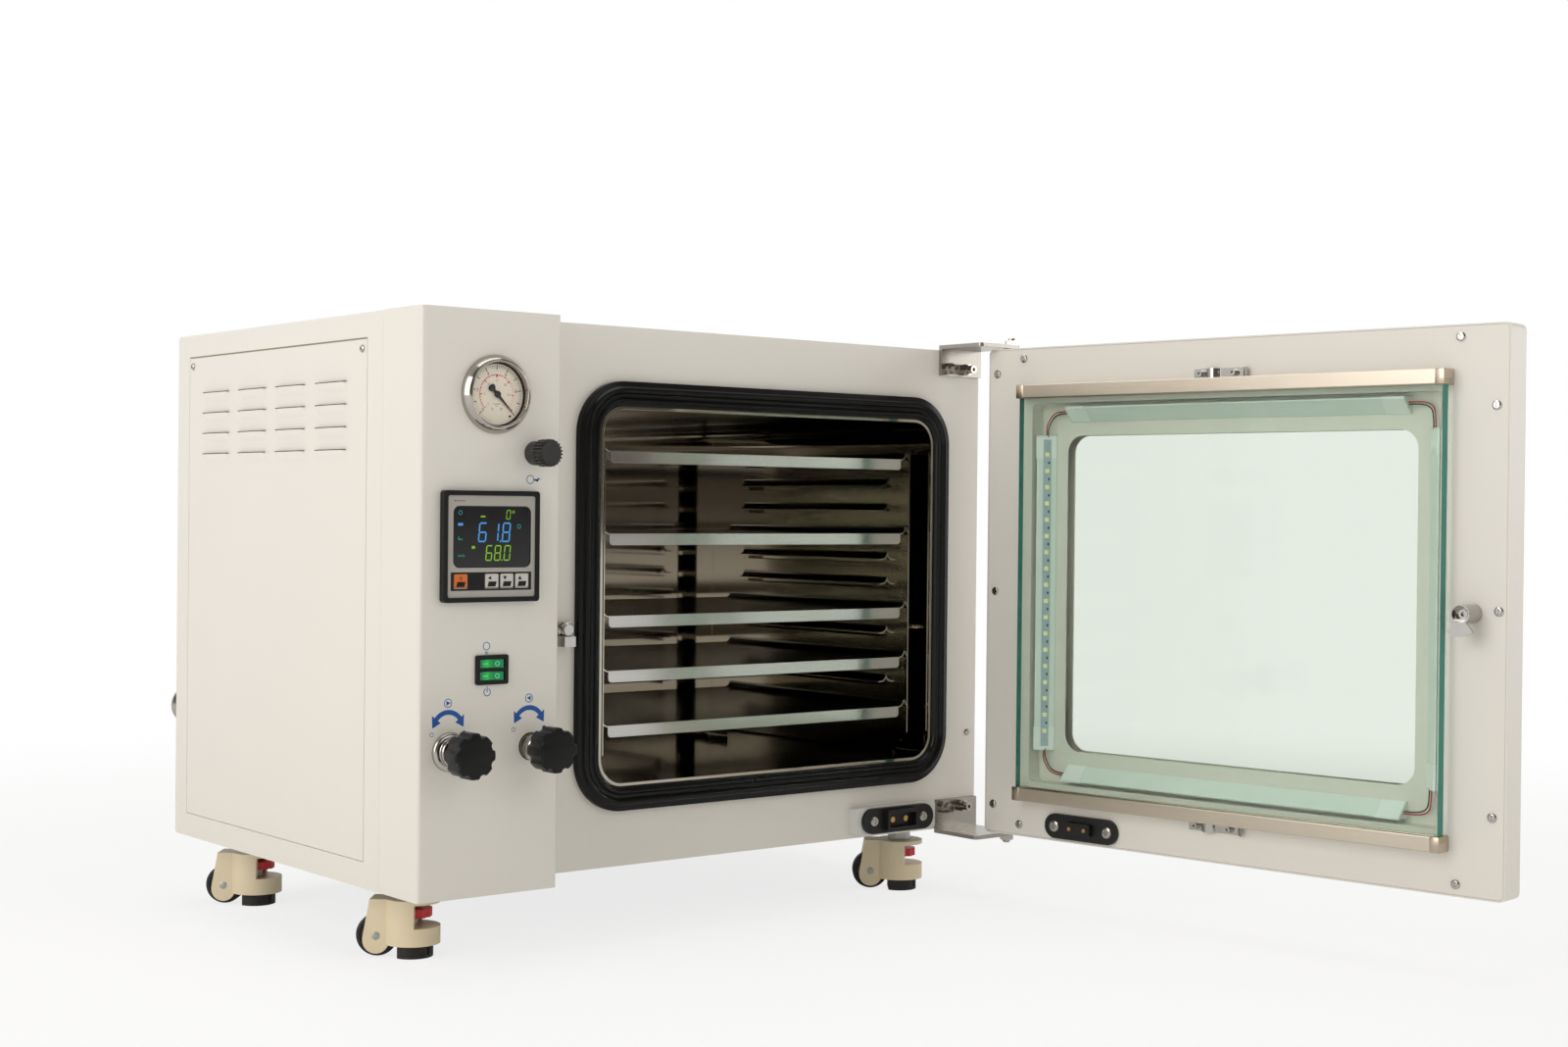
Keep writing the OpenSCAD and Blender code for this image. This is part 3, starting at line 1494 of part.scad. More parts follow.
module door_handle() {
  h1 = handle_reach;
  color(black) on_door() translate([latch_x, door_front, latch_z])
    rotate([90, 0, 0]) {
      translate([0, 0, -door_t - 0.2])
        cylinder(r = spindle_r, h = door_t + 0.2 + 9);
      translate([0, 0, -door_t - 10])
        cylinder(r = cam_bore - fit_gap, h = 10);
      translate([0, 0, 0.4]) cylinder(r = 12, h = 19.6);
      rotate(latch_turn - 90) rotate([90, 0, 0])
        linear_extrude(lever_w, center = true)
          polygon([[0, 7], [0, 17], [17, 17], [grip_start, h1],
            [handle_l - 3, h1], [handle_l, h1 - 3], [handle_l, h1 - 7],
            [handle_l - 3, h1 - 10], [grip_start + 5, h1 - 10], [22, 7]]);
    }
}

cabinet_shell();
base_plate();
back_panel();
front_fascia();
control_column();
access_panel();
chamber();
insulation();
heater_mats();
door_gasket();
shelf_racks();
shelf_1();
shelf_2();
shelf_3();
shelf_4();
shelf_5();
gauge_case();
gauge_lens();
gauge_needle();
vent_body();
vent_cap();
controller_case();
key_menu();
key_shift();
key_down();
key_up();
switch_housing();
light_rocker();
power_rocker();
valve_bodies();
pump_knob();
inlet_knob();
vacuum_pipework();
power_inlet();
door_strike();
lamp_socket();
hinge_brackets();
cabinet_fasteners();
caster_frame_1();
caster_frame_2();
caster_frame_3();
caster_frame_4();
caster_wheel_1();
caster_wheel_2();
caster_wheel_3();
caster_wheel_4();
caster_foot_1();
caster_foot_2();
caster_foot_3();
caster_foot_4();
door_shell();
door_liner();
window_pane();
inner_glass();
glass_bars();
lamp_profiles();
door_fittings();
lamp_plug();
latch_cam();
door_handle();
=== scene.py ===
import json
import math

import bmesh
import bpy
from mathutils import Matrix, Vector


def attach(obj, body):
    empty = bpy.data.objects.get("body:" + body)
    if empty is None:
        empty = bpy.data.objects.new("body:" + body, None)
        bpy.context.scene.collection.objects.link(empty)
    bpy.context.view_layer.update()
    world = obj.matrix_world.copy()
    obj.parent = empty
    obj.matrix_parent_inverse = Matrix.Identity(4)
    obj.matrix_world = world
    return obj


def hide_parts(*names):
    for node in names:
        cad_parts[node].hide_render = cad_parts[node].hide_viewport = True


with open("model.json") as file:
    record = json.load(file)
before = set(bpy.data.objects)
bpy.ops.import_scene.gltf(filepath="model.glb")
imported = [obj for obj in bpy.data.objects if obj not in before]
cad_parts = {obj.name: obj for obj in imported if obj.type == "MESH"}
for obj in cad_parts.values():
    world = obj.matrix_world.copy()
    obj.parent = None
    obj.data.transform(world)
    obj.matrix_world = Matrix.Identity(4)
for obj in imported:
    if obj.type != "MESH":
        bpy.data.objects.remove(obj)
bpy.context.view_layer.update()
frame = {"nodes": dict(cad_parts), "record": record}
nodes = frame["nodes"]
joints = {j["name"]: j for j in frame["record"]["behaviour"]["joints"]}

# ---- places ----
# Cabinet measures are in millimetres from the lower left front corner of the
# control column; door measures are taken with the door shut.

MM = 0.001
PIVOT = (706.5, 4.5)
DOOR_OPEN = math.radians(97.5)
FRONT_Y = 61.0
CHAMBER = (430.95, 254.0)

pin = Vector(joints["door_hinge"]["pos_m"])
ORIGIN = Vector((PIVOT[0], PIVOT[1], 254.0)) * MM - pin
CABINET = Matrix.Translation(-ORIGIN)
DOOR = (Matrix.Translation(pin) @ Matrix.Rotation(DOOR_OPEN, 4, "Z")
        @ Matrix.Translation(-pin) @ CABINET)


def mm(x, y, z):
    return Vector((x, y, z)) * MM


# ---- camera ----

CAMERA_SPOT = mm(-905.1, -1598.8, 337.8)
FRAME_WIDTH, FOCAL_LENGTH = 36.0, 49.25
YAW, PITCH, ROLL = (math.radians(a) for a in (39.14, -0.40, 0.58))


def add_camera():
    ahead = Vector((math.sin(YAW) * math.cos(PITCH),
                    math.cos(YAW) * math.cos(PITCH), math.sin(PITCH)))
    across = Vector((math.cos(YAW), -math.sin(YAW), 0))
    up = across.cross(ahead)
    side = across * math.cos(ROLL) + up * math.sin(ROLL)
    top = up * math.cos(ROLL) - across * math.sin(ROLL)
    turn = Matrix((side, top, -ahead)).transposed().to_4x4()
    data = bpy.data.cameras.new("camera")
    data.sensor_width = FRAME_WIDTH
    data.lens = FOCAL_LENGTH
    data.clip_end = 50
    camera = bpy.data.objects.new("camera", data)
    bpy.context.collection.objects.link(camera)
    camera.matrix_world = Matrix.Translation(CAMERA_SPOT - ORIGIN) @ turn
    bpy.context.scene.camera = camera


add_camera()

# ---- patterns ----


def feed(tree, socket, value):
    """Link a socket to another one, or give it a plain value."""
    if isinstance(value, bpy.types.NodeSocket):
        tree.links.new(value, socket)
    elif socket.type == "RGBA":
        socket.default_value = (*value[:3], 1)
    else:
        socket.default_value = value


def dress(tree, node, sockets):
    """Feed the inputs of a node by name or number."""
    for label, value in sockets.items():
        feed(tree, node.inputs[label], value)


def add(tree, kind, sockets=None, **settings):
    """A new shader node with its settings and its inputs."""
    node = tree.nodes.new("ShaderNode" + kind)
    for label, value in settings.items():
        setattr(node, label, value)
    dress(tree, node, sockets or {})
    return node


def node_group(name, inputs, outputs):
    """An empty shader group with the sockets of its two end nodes."""
    group = bpy.data.node_groups.new(name, "ShaderNodeTree")
    for label, kind, value in inputs:
        socket = group.interface.new_socket(
            name=label, in_out="INPUT", socket_type="NodeSocket" + kind)
        if value is not None:
            socket.default_value = value
    for label, kind in outputs:
        group.interface.new_socket(
            name=label, in_out="OUTPUT", socket_type="NodeSocket" + kind)
    return (group, group.nodes.new("NodeGroupInput").outputs,
            group.nodes.new("NodeGroupOutput").inputs)


def noise(tree, vector, scale, detail=3.0, rough=0.55):
    return add(tree, "TexNoise", {
        "Vector": vector, "Scale": scale, "Detail": detail,
        "Roughness": rough}).outputs["Fac"]


def maths(tree, kind, a, b, clamp=False):
    """One step of arithmetic on sockets or plain values."""
    return add(tree, "Math", {0: a, 1: b}, operation=kind,
               use_clamp=clamp).outputs[0]


def spread(tree, value, low, high):
    """value from 0 to 1 brought to the range low to high."""
    return add(tree, "MapRange", {
        "Value": value, "To Min": low, "To Max": high}).outputs["Result"]


def mix_colour(tree, mask, a, b):
    return add(tree, "Mix", {"Factor": mask, 6: a, 7: b},
               data_type="RGBA").outputs[2]


def stretched(tree, vector, scale):
    return add(tree, "Mapping", {
        "Vector": vector, "Scale": scale}).outputs["Vector"]


def make_mottle():
    """Soft unevenness of a finish: a colour and a roughness that wander."""
    group, start, end = node_group(
        "uneven_finish",
        [("Vector", "Vector", None), ("Colour", "Color", (0.5, 0.5, 0.5, 1)),
         ("Shade", "Float", 0.94), ("Scale", "Float", 9.0),
         ("Roughness", "Float", 0.4), ("Wander", "Float", 0.06)],
        [("Colour", "Color"), ("Roughness", "Float")])
    cloud = noise(group, start["Vector"], start["Scale"], 4)
    shade = spread(group, cloud, start["Shade"], 1.0)
    scaled = add(group, "VectorMath", {0: start["Colour"], "Scale": shade},
                 operation="SCALE")
    feed(group, end["Colour"], scaled.outputs[0])
    fine = noise(group, start["Vector"], 60.0)
    swing = maths(group, "MULTIPLY", maths(group, "SUBTRACT", fine, 0.5),
                  start["Wander"])
    feed(group, end["Roughness"],
         maths(group, "ADD", start["Roughness"], swing))
    return group


def make_grain():
    """Fine pits or orange peel as a height."""
    group, start, end = node_group(
        "fine_grain", [("Vector", "Vector", None), ("Scale", "Float", 900.0)],
        [("Height", "Float")])
    big = noise(group, start["Vector"], start["Scale"], 2)
    finer = maths(group, "MULTIPLY", start["Scale"], 3.1)
    small = noise(group, start["Vector"], finer, 1)
    feed(group, end["Height"],
         maths(group, "ADD", big, maths(group, "MULTIPLY", small, 0.4)))
    return group


def make_brushing():
    """Long fine scratches along one direction: a shade and a height."""
    group, start, end = node_group(
        "brush_lines", [("Vector", "Vector", None)],
        [("Shade", "Float"), ("Height", "Float")])
    lines = noise(group, start["Vector"], 420.0, 4, 0.7)
    broad = noise(group, start["Vector"], 60.0, 2, 0.5)
    feed(group, end["Shade"],
         maths(group, "ADD", maths(group, "MULTIPLY", lines, 0.6),
               maths(group, "MULTIPLY", broad, 0.4)))
    feed(group, end["Height"], lines)
    return group


MOTTLE = make_mottle()
GRAIN = make_grain()
BRUSHING = make_brushing()
GRAIN_HEIGHT = 0.0002
SCRATCH_HEIGHT = 0.0001
METAL = 1.0

# ---- finishes ----


def blank(name):
    """A new material, its tree, its shader and its object coordinates."""
    material = bpy.data.materials.new(name)
    material.use_nodes = True
    tree = material.node_tree
    place = add(tree, "TexCoord").outputs["Object"]
    return material, tree, tree.nodes["Principled BSDF"], place


def put(tree, group, vector, **values):
    """The outputs of a shared group placed in a material."""
    node = add(tree, "Group", node_tree=group)
    dress(tree, node, {"Vector": vector, **values})
    return node.outputs


def bump(tree, height, strength, distance):
    return add(tree, "Bump", {
        "Strength": strength, "Distance": distance,
        "Height": height}).outputs["Normal"]


def finish(name, colour, rough, shade, patch, metal=0.0, wander=0.06,
           grain=None, depth=0.15, specular=0.5):
    """A finish with wandering colour and roughness and a fine grain."""
    material, tree, shader, place = blank(name)
    look = put(tree, MOTTLE, place, Colour=colour, Shade=shade, Scale=patch,
               Roughness=rough, Wander=wander)
    dress(tree, shader, {
        "Base Color": look["Colour"], "Roughness": look["Roughness"],
        "Metallic": metal, "Specular IOR Level": specular})
    if grain:
        fine = put(tree, GRAIN, place, Scale=grain)["Height"]
        feed(tree, shader.inputs["Normal"],
             bump(tree, fine, depth, GRAIN_HEIGHT))
    return material


def brushed(name, colour, rough, along, contrast, depth):
    """Stainless sheet brushed along one direction."""
    material, tree, shader, place = blank(name)
    scale = [1.0 if abs(a) < 0.5 else 0.02 for a in along]
    lines = put(tree, BRUSHING, stretched(tree, place, scale))
    dark = tuple(c * (1 - contrast) for c in colour)
    dress(tree, shader, {
        "Base Color": mix_colour(tree, lines["Shade"], dark, colour),
        "Roughness": spread(tree, lines["Shade"], rough * 0.8, rough * 1.25),
        "Metallic": METAL,
        "Normal": bump(tree, lines["Height"], depth, SCRATCH_HEIGHT)})
    return material


def clear(name, colour, ior):
    """Clear glass with faint wiping marks in its gloss."""
    material, tree, shader, place = blank(name)
    wipe = noise(tree, stretched(tree, place, (1, 1, 3)), 14.0, 4)
    dress(tree, shader, {
        "Base Color": colour, "Transmission Weight": 1.0, "IOR": ior,
        "Roughness": spread(tree, wipe, 0.0, 0.015)})
    return material


def shine(tree, shader, colour, strength, rough):
    """Give a shader one colour and let it glow a little in the same."""
    dress(tree, shader, {
        "Base Color": colour, "Emission Color": colour,
        "Emission Strength": strength, "Roughness": rough})


def glowing(name, colour, strength):
    """A lit screen segment or lamp die: coloured and shining a little."""
    material, tree, shader, place = blank(name)
    low = tuple(c * 0.85 for c in colour)
    tint = mix_colour(tree, noise(tree, place, 700.0, 2), low, colour)
    shine(tree, shader, tint, strength, 0.4)
    return material


PAINT = finish("powder_coat", (0.80, 0.765, 0.70), 0.42, 0.975, 9, grain=750,
               depth=0.10)
ZINC = finish("zinc_plate", (0.52, 0.52, 0.50), 0.42, 0.8, 30, metal=METAL,
              grain=500)
POLISHED = brushed("polished_stainless", (0.47, 0.435, 0.37), 0.07,
                   along=(0, 1, 0), contrast=0.12, depth=0.0)
SHELF_STEEL = brushed("shelf_stainless", (0.56, 0.555, 0.52), 0.13,
                      along=(1, 0, 0), contrast=0.25, depth=0.02)
SATIN = finish("satin_steel", (0.50, 0.475, 0.44), 0.24, 0.85, 40,
               metal=METAL, grain=1200, depth=0.04)
BRACKET = brushed("bracket_steel", (0.40, 0.375, 0.34), 0.26, along=(1, 0, 0),
                  contrast=0.2, depth=0.04)
CHROME = finish("chrome_plate", (0.50, 0.485, 0.46), 0.12, 0.93, 60,
                metal=METAL)
BAR = brushed("bar_stainless", (0.66, 0.58, 0.48), 0.30, along=(0, 1, 0),
              contrast=0.18, depth=0.10)
WOOL = finish("mineral_wool", (0.70, 0.64, 0.45), 0.95, 0.7, 60, grain=300,
              depth=0.8)
MAT = finish("heater_mat", (0.42, 0.15, 0.08), 0.7, 0.8, 25, grain=400,
             depth=0.4)
SILICONE = finish("black_silicone", (0.0025, 0.0025, 0.0025), 0.25, 0.6, 18,
                  wander=0.10, grain=700, depth=0.05, specular=0.24)
BLACK = finish("black_plastic", (0.012, 0.012, 0.012), 0.42, 0.7, 25,
               wander=0.12, grain=900, depth=0.25, specular=0.35)
BEZEL = finish("bezel_plastic", (0.006, 0.006, 0.006), 0.34, 0.7, 30,
               grain=1100, depth=0.15, specular=0.3)
FACE = finish("grey_face", (0.42, 0.40, 0.36), 0.38, 0.95, 40, grain=1400,
              depth=0.05)
SCREEN = finish("screen_black", (0.010, 0.010, 0.012), 0.12, 0.6, 30)
PANEL_IN = finish("screen_field", (0.024, 0.024, 0.024), 0.24, 0.7, 55)
KEY_GREY = finish("key_grey", (0.62, 0.60, 0.55), 0.35, 0.93, 90)
KEY_ORANGE = finish("key_orange", (0.72, 0.16, 0.02), 0.35, 0.9, 90)
WHITE = finish("white_plastic", (0.72, 0.72, 0.68), 0.36, 0.95, 30, grain=900,
               depth=0.06)
NYLON = finish("cream_nylon", (0.86, 0.73, 0.51), 0.40, 0.9, 25, grain=650,
               depth=0.12)
TYRE = finish("wheel_black", (0.02, 0.02, 0.02), 0.55, 0.6, 40, grain=800,
              depth=0.3)
HUB = finish("wheel_hub", (0.16, 0.15, 0.13), 0.5, 0.8, 60)
RED = finish("red_plastic", (0.62, 0.02, 0.03), 0.36, 0.85, 60)
PAD = finish("foot_pad", (0.016, 0.014, 0.012), 0.55, 0.7, 40, grain=500,
             depth=0.3)
BLUE_INK = finish("blue_ink", (0.0, 0.085, 0.38), 0.42, 0.92, 120)
BLACK_INK = finish("black_ink", (0.01, 0.01, 0.01), 0.5, 0.7, 90)
RED_INK = finish("red_ink", (0.70, 0.04, 0.06), 0.5, 0.85, 90)
DIAL = finish("dial_white", (0.74, 0.66, 0.55), 0.5, 0.95, 60)
BRASS = finish("brass", (0.60, 0.36, 0.13), 0.25, 0.8, 90, metal=METAL)
GLASS = clear("door_glass", (0.84, 0.91, 0.85), 1.25)
GLASS_EDGE = finish("glass_edge", (0.02, 0.26, 0.20), 0.12, 0.8, 30)
PANE = clear("window_glass", (0.93, 0.925, 0.90), 1.22)
LENS = clear("gauge_lens_glass", (0.97, 0.97, 0.96), 1.08)
DIFFUSER = finish("lamp_diffuser", (0.84, 0.90, 0.85), 0.35, 0.93, 40)
END_CAP = finish("lamp_end_cap", (0.93, 0.96, 0.93), 0.28, 0.95, 60)
STRIP = finish("lamp_strip", (0.50, 0.60, 0.66), 0.4, 0.75, 160)
CHIP = finish("lamp_resistor", (0.02, 0.05, 0.12), 0.4, 0.7, 90)
DIE = glowing("lamp_die", (0.95, 0.80, 0.16), 0.3)
BAR_CAP = brushed("bar_end_steel", (0.56, 0.48, 0.38), 0.28, along=(0, 1, 0),
                  contrast=0.2, depth=0.08)
# painted shadow: dark tan finish for the strip in the gap above the side cover
COVER_PAINTED_SHADOW = finish("gap_shadow", (0.30, 0.27, 0.18), 0.8, 0.8, 30)
# painted shade: near-black finish for the blocks that fill the louvre mouths
MOUTH_PAINTED_SHADE = finish("louvre_painted_shade", (0.07, 0.065, 0.05), 0.8, 0.7, 60)
BLUE_SEGMENT = glowing("blue_segment", (0.05, 0.24, 0.58), 0.6)
LIME_SEGMENT = glowing("lime_segment", (0.17, 0.38, 0.01), 0.5)
TEAL_SEGMENT = glowing("teal_segment", (0.005, 0.20, 0.17), 0.4)
WIRE_RED = finish("wire_red", (0.62, 0.02, 0.03), 0.45, 0.8, 90)
WIRE_BLACK = finish("wire_black", (0.015, 0.015, 0.015), 0.45, 0.7, 90)
GAUGE_STEEL = finish("gauge_steel", (0.47, 0.44, 0.40), 0.13, 0.9, 50,
                     metal=METAL)
VENT_GREY = finish("vent_grey", (0.026, 0.024, 0.022), 0.42, 0.8, 60,
                   grain=900, depth=0.1)
KNOB = finish("knob_charcoal", (0.006, 0.006, 0.006), 0.34, 0.75, 45,
              wander=0.1, grain=800, depth=0.12, specular=0.24)
PALE_GREEN = glowing("pale_green_mark", (0.10, 0.55, 0.22), 0.5)


LIT_END = 66.0
LIT_REACH = 0.006


def rocker_green():
    """Green translucent plastic, brighter where the lamp sits behind it."""
    material, tree, shader, place = blank("rocker_green")
    lamp = (mm(LIT_END, 0, 0) - ORIGIN).x
    away = add(tree, "VectorMath", {
        0: stretched(tree, place, (1, 0, 0)), 1: (lamp, 0, 0)},
        operation="DISTANCE").outputs["Value"]
    near = maths(tree, "SUBTRACT", 1.0,
                 maths(tree, "DIVIDE", away, LIT_REACH), clamp=True)
    grain = maths(tree, "MULTIPLY", noise(tree, place, 260.0), 0.2)
    green = mix_colour(tree, maths(tree, "ADD", near, grain, clamp=True),
                       (0.0, 0.16, 0.06), (0.01, 0.42, 0.06))
    shine(tree, shader, green, 0.25, 0.25)
    return material


ROCKER = rocker_green()

CASTER_FRAMES, CASTER_WHEELS, CASTER_FEET = (
    ["caster_%s_%d" % (part, i) for i in range(1, 5)]
    for part in ("frame", "wheel", "foot"))
SHELVES = ["shelf_%d" % i for i in range(1, 6)]
NODE_FINISH = {
    PAINT: ["cabinet_shell", "back_panel", "front_fascia", "control_column",
            "access_panel", "door_shell", "door_liner"],
    ZINC: ["base_plate"],
    POLISHED: ["chamber", "shelf_racks"],
    SHELF_STEEL: SHELVES,
    WOOL: ["insulation"],
    MAT: ["heater_mats"],
    SILICONE: ["door_gasket"],
    SATIN: ["valve_bodies", "vacuum_pipework"],
    GAUGE_STEEL: ["gauge_case", "cabinet_fasteners"],
    BRACKET: ["hinge_brackets"],
    CHROME: ["door_strike", "door_fittings", "latch_cam"],
    BLACK: ["vent_body", "vent_cap", "pump_knob", "inlet_knob",
            "power_inlet", "door_handle", "lamp_socket", "lamp_plug"],
    BEZEL: ["controller_case", "switch_housing"],
    KEY_ORANGE: ["key_menu"],
    KEY_GREY: ["key_shift", "key_down", "key_up"],
    ROCKER: ["light_rocker", "power_rocker"],
    BLACK_INK: ["gauge_needle"],
    LENS: ["gauge_lens"],
    GLASS: ["inner_glass"],
    PANE: ["window_pane"],
    BAR: ["glass_bars"],
    DIFFUSER: ["lamp_profiles"],
    NYLON: CASTER_FRAMES, TYRE: CASTER_WHEELS, PAD: CASTER_FEET,
}

for material, names in NODE_FINISH.items():
    for name in names:
        slots = nodes[name].data.materials
        slots.clear()
        slots.append(material)

# ---- modelling ----

WELD = 0.000002
CAD_WELD = 0.000005
FLAT_ANGLE = math.radians(0.4)


def alone(piece):
    """Make this the only selected object, and the active one."""
    bpy.ops.object.select_all(action="DESELECT")
    piece.select_set(True)
    bpy.context.view_layer.objects.active = piece


def edit(piece, kind="FACE", action="SELECT"):
    """Enter edit mode with everything or nothing selected."""
    alone(piece)
    bpy.ops.object.mode_set(mode="EDIT")
    bpy.ops.mesh.select_mode(type=kind)
    bpy.ops.mesh.select_all(action=action)


def leave():
    bpy.ops.object.mode_set(mode="OBJECT")


def tint(piece, material, test, frame_of=CABINET):
    """Another finish for the faces whose corners all pass the test.

    The test gets their places in millimetres in the cabinet's frame, or in
    that of the shut door.
    """
    piece.data.materials.append(material)
    index = len(piece.data.materials) - 1
    back = frame_of.inverted()
    spots = [(back @ vertex.co) / MM for vertex in piece.data.vertices]
    for face in piece.data.polygons:
        if all(test(spots[v]) for v in face.vertices):
            face.material_index = index


def settle(piece, place, body, material=None, angle=32):
    """Put the place into the mesh, tidy it and hand the piece over."""
    piece.data.transform(place @ piece.matrix_basis)
    piece.matrix_basis = Matrix.Identity(4)
    edit(piece, "VERT")
    bpy.ops.mesh.remove_doubles(threshold=WELD)
    bpy.ops.mesh.normals_make_consistent(inside=False)
    leave()
    bpy.ops.object.shade_smooth_by_angle(angle=math.radians(angle))
    if material:
        piece.data.materials.clear()
        piece.data.materials.append(material)
    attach(piece, body)
    return piece


def modify(piece, kind, **settings):
    """Apply one modifier."""
    modifier = piece.modifiers.new(kind.lower(), kind)
    for label, value in settings.items():
        setattr(modifier, label, value)
    alone(piece)
    bpy.ops.object.modifier_apply(modifier=modifier.name)


def round_edges(piece, width, segments=2):
    """Round every edge that turns by more than 35 degrees."""
    modify(piece, "BEVEL", width=width * MM, segments=segments,
           limit_method="ANGLE", angle_limit=math.radians(35),
           harden_normals=False)


def linked(name, data):
    """A new object with this data in the scene."""
    piece = bpy.data.objects.new(name, data)
    bpy.context.collection.objects.link(piece)
    return piece


def softened(node, body, width, slot, name=None, segments=2):
    """The solid part of this name with its facets and edges smoothed."""
    source = nodes[node]
    mesh = source.data.copy()
    mesh.transform(source.matrix_world)
    piece = linked(name or node + "_finished", mesh)
    edit(piece, "VERT")
    bpy.ops.mesh.remove_doubles(threshold=CAD_WELD)
    bpy.ops.mesh.dissolve_limited(angle_limit=FLAT_ANGLE)
    leave()
    if width:
        round_edges(piece, width, segments)
    settle(piece, Matrix.Identity(4), body, None)
    modify(piece, "WEIGHTED_NORMAL", keep_sharp=True, weight=80)
    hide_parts(node)
    return piece


def soften_all(body, *rows):
    """Softened solids of one body: node, width, slot (not used), name and
    segments.
    """
    return [softened(node, body, *rest) for node, *rest in rows]


def disc(name, radius, height, sides):
    bpy.ops.mesh.primitive_circle_add(
        vertices=sides, radius=radius * MM, fill_type="NGON",
        location=(0, 0, height * MM))
    piece = bpy.context.active_object
    piece.name = name
    return piece


def grow(piece, profile):
    """Draw the top face up through the steps of a profile."""
    radius, height = profile[0]
    edit(piece)
    for wide, high in profile[1:]:
        bpy.ops.mesh.extrude_region_move(
            TRANSFORM_OT_translate={"value": (0, 0, (high - height) * MM)})
        if abs(wide - radius) > 1e-6:
            bpy.ops.transform.resize(
                value=(wide / radius, wide / radius, 1),
                center_override=(0, 0, high * MM))
        radius, height = wide, high
    leave()
    return piece


def turned(name, profile, sides=64):
    """Round piece grown from a disc through steps of radius and height."""
    return grow(disc(name, *profile[0], sides), profile)


def lobed(name, profile, lobes, outline, per=12):
    """A turned piece whose disc is first given lobes by outline(part)."""
    piece = disc(name, *profile[0], lobes * per)
    edit(piece, "VERT", "DESELECT")
    for part in range(per):
        factor = outline(part / per)
        if abs(factor - 1) < 1e-6:
            continue
        mesh = bmesh.from_edit_mesh(piece.data)
        mesh.verts.ensure_lookup_table()
        for vertex in mesh.verts:
            vertex.select = vertex.index % per == part
        mesh.select_flush_mode()
        bmesh.update_edit_mesh(piece.data)
        bpy.ops.transform.resize(value=(factor, factor, 1),
                                 center_override=mm(0, 0, profile[0][1]))
    leave()
    return grow(piece, profile)


def block(name, size, spot=(0, 0, 0), width=0.3, segments=2):
    """A box of this size with rounded edges."""
    bpy.ops.mesh.primitive_cube_add(size=1)
    piece = bpy.context.active_object
    piece.name = name
    edit(piece)
    bpy.ops.transform.resize(value=mm(*size), center_override=(0, 0, 0))
    bpy.ops.transform.translate(value=mm(*spot))
    bpy.ops.mesh.select_mode(type="EDGE")
    bpy.ops.mesh.select_all(action="SELECT")
    bpy.ops.mesh.bevel(offset=width * MM, segments=segments)
    leave()
    return piece


def joined(pieces, name):
    bpy.ops.object.select_all(action="DESELECT")
    for piece in pieces:
        piece.select_set(True)
    bpy.context.view_layer.objects.active = pieces[0]
    if len(pieces) > 1:
        bpy.ops.object.join()
    pieces[0].name = name
    return pieces[0]


def twin(piece, place):
    """A copy with its own mesh at another place."""
    other = piece.copy()
    other.data = piece.data.copy()
    bpy.context.collection.objects.link(other)
    other.data.transform(place)
    return other


def row(piece, steps):
    """Copies of a piece moved by each step, joined into one."""
    copies = [twin(piece, Matrix.Translation(mm(*step)))
              for step in steps[1:]]
    piece.data.transform(Matrix.Translation(mm(*steps[0])))
    return joined([piece] + copies, piece.name)


def from_curve(name, loops, kind, closed, **settings):
    """The mesh of a curve through places given in millimetres."""
    curve = bpy.data.curves.new(name, "CURVE")
    for label, value in settings.items():
        setattr(curve, label, value)
    for loop in loops:
        spline = curve.splines.new(kind)
        spline.points.add(len(loop) - 1)
        for point, place in zip(spline.points, loop):
            point.co = (*mm(*place), 1)
        spline.use_cyclic_u = closed
        spline.use_endpoint_u = not closed
    alone(linked(name, curve))
    bpy.ops.object.convert(target="MESH")
    return bpy.context.active_object


def flat_marks(name, loops, height=0.06):
    """Thin printed shapes: closed loops in millimetres, seen from +Z."""
    return from_curve(
        name, [[(x, y, 0) for x, y in loop] for loop in loops], "POLY", True,
        dimensions="2D", fill_mode="BOTH", extrude=height / 2 * MM)


def tube(name, points, radius, closed=False):
    """A round rod or wire led through places given in millimetres."""
    return from_curve(
        name, [points], "POLY" if closed else "NURBS", closed,
        dimensions="3D", bevel_depth=radius * MM, bevel_resolution=3,
        use_fill_caps=True)


def stamp(name, loops, place, material, body="cabinet", height=0.06):
    """Printed shapes settled at a place."""
    settle(flat_marks(name, loops, height), place, body, material)


def numeral(text, size, x, y):
    bpy.ops.object.text_add()
    letters = bpy.context.active_object.data
    letters.body = text
    letters.size = size * MM
    letters.align_x = "CENTER"
    letters.align_y = "CENTER"
    letters.extrude = 0.03 * MM
    bpy.ops.object.convert(target="MESH")
    piece = bpy.context.active_object
    piece.data.transform(Matrix.Translation(mm(x, y, 0)))
    return piece


def arc(radius, start, end, steps=24, x=0.0, y=0.0):
    angles = [math.radians(start + (end - start) * i / steps)
              for i in range(steps + 1)]
    return [(x + radius * math.cos(a), y + radius * math.sin(a))
            for a in angles]


def ring(radius, width, x=0.0, y=0.0, steps=32):
    return [arc(r, 0, 360 - 360 / steps, steps - 1, x, y)
            for r in (radius, radius - width)]


def band(radius, width, start, end, x=0.0, y=0.0, steps=24):
    return (arc(radius, start, end, steps, x, y)
            + arc(radius - width, end, start, steps, x, y))


def rect(x0, y0, x1, y1):
    return [(x0, y0), (x1, y0), (x1, y1), (x0, y1)]


def tick(radius, length, width, angle):
    a = math.radians(angle)
    cos, sin = math.cos(a), math.sin(a)
    return [(r * cos - s * sin, r * sin + s * cos)
            for r, s in rect(radius, -width / 2, radius + length, width / 2)]


def on_front(x, y, z):
    """Local +Z towards the front, local +Y upwards, at a cabinet place."""
    return (CABINET @ Matrix.Translation(mm(x, y, z))
            @ Matrix.Rotation(math.pi / 2, 4, "X"))


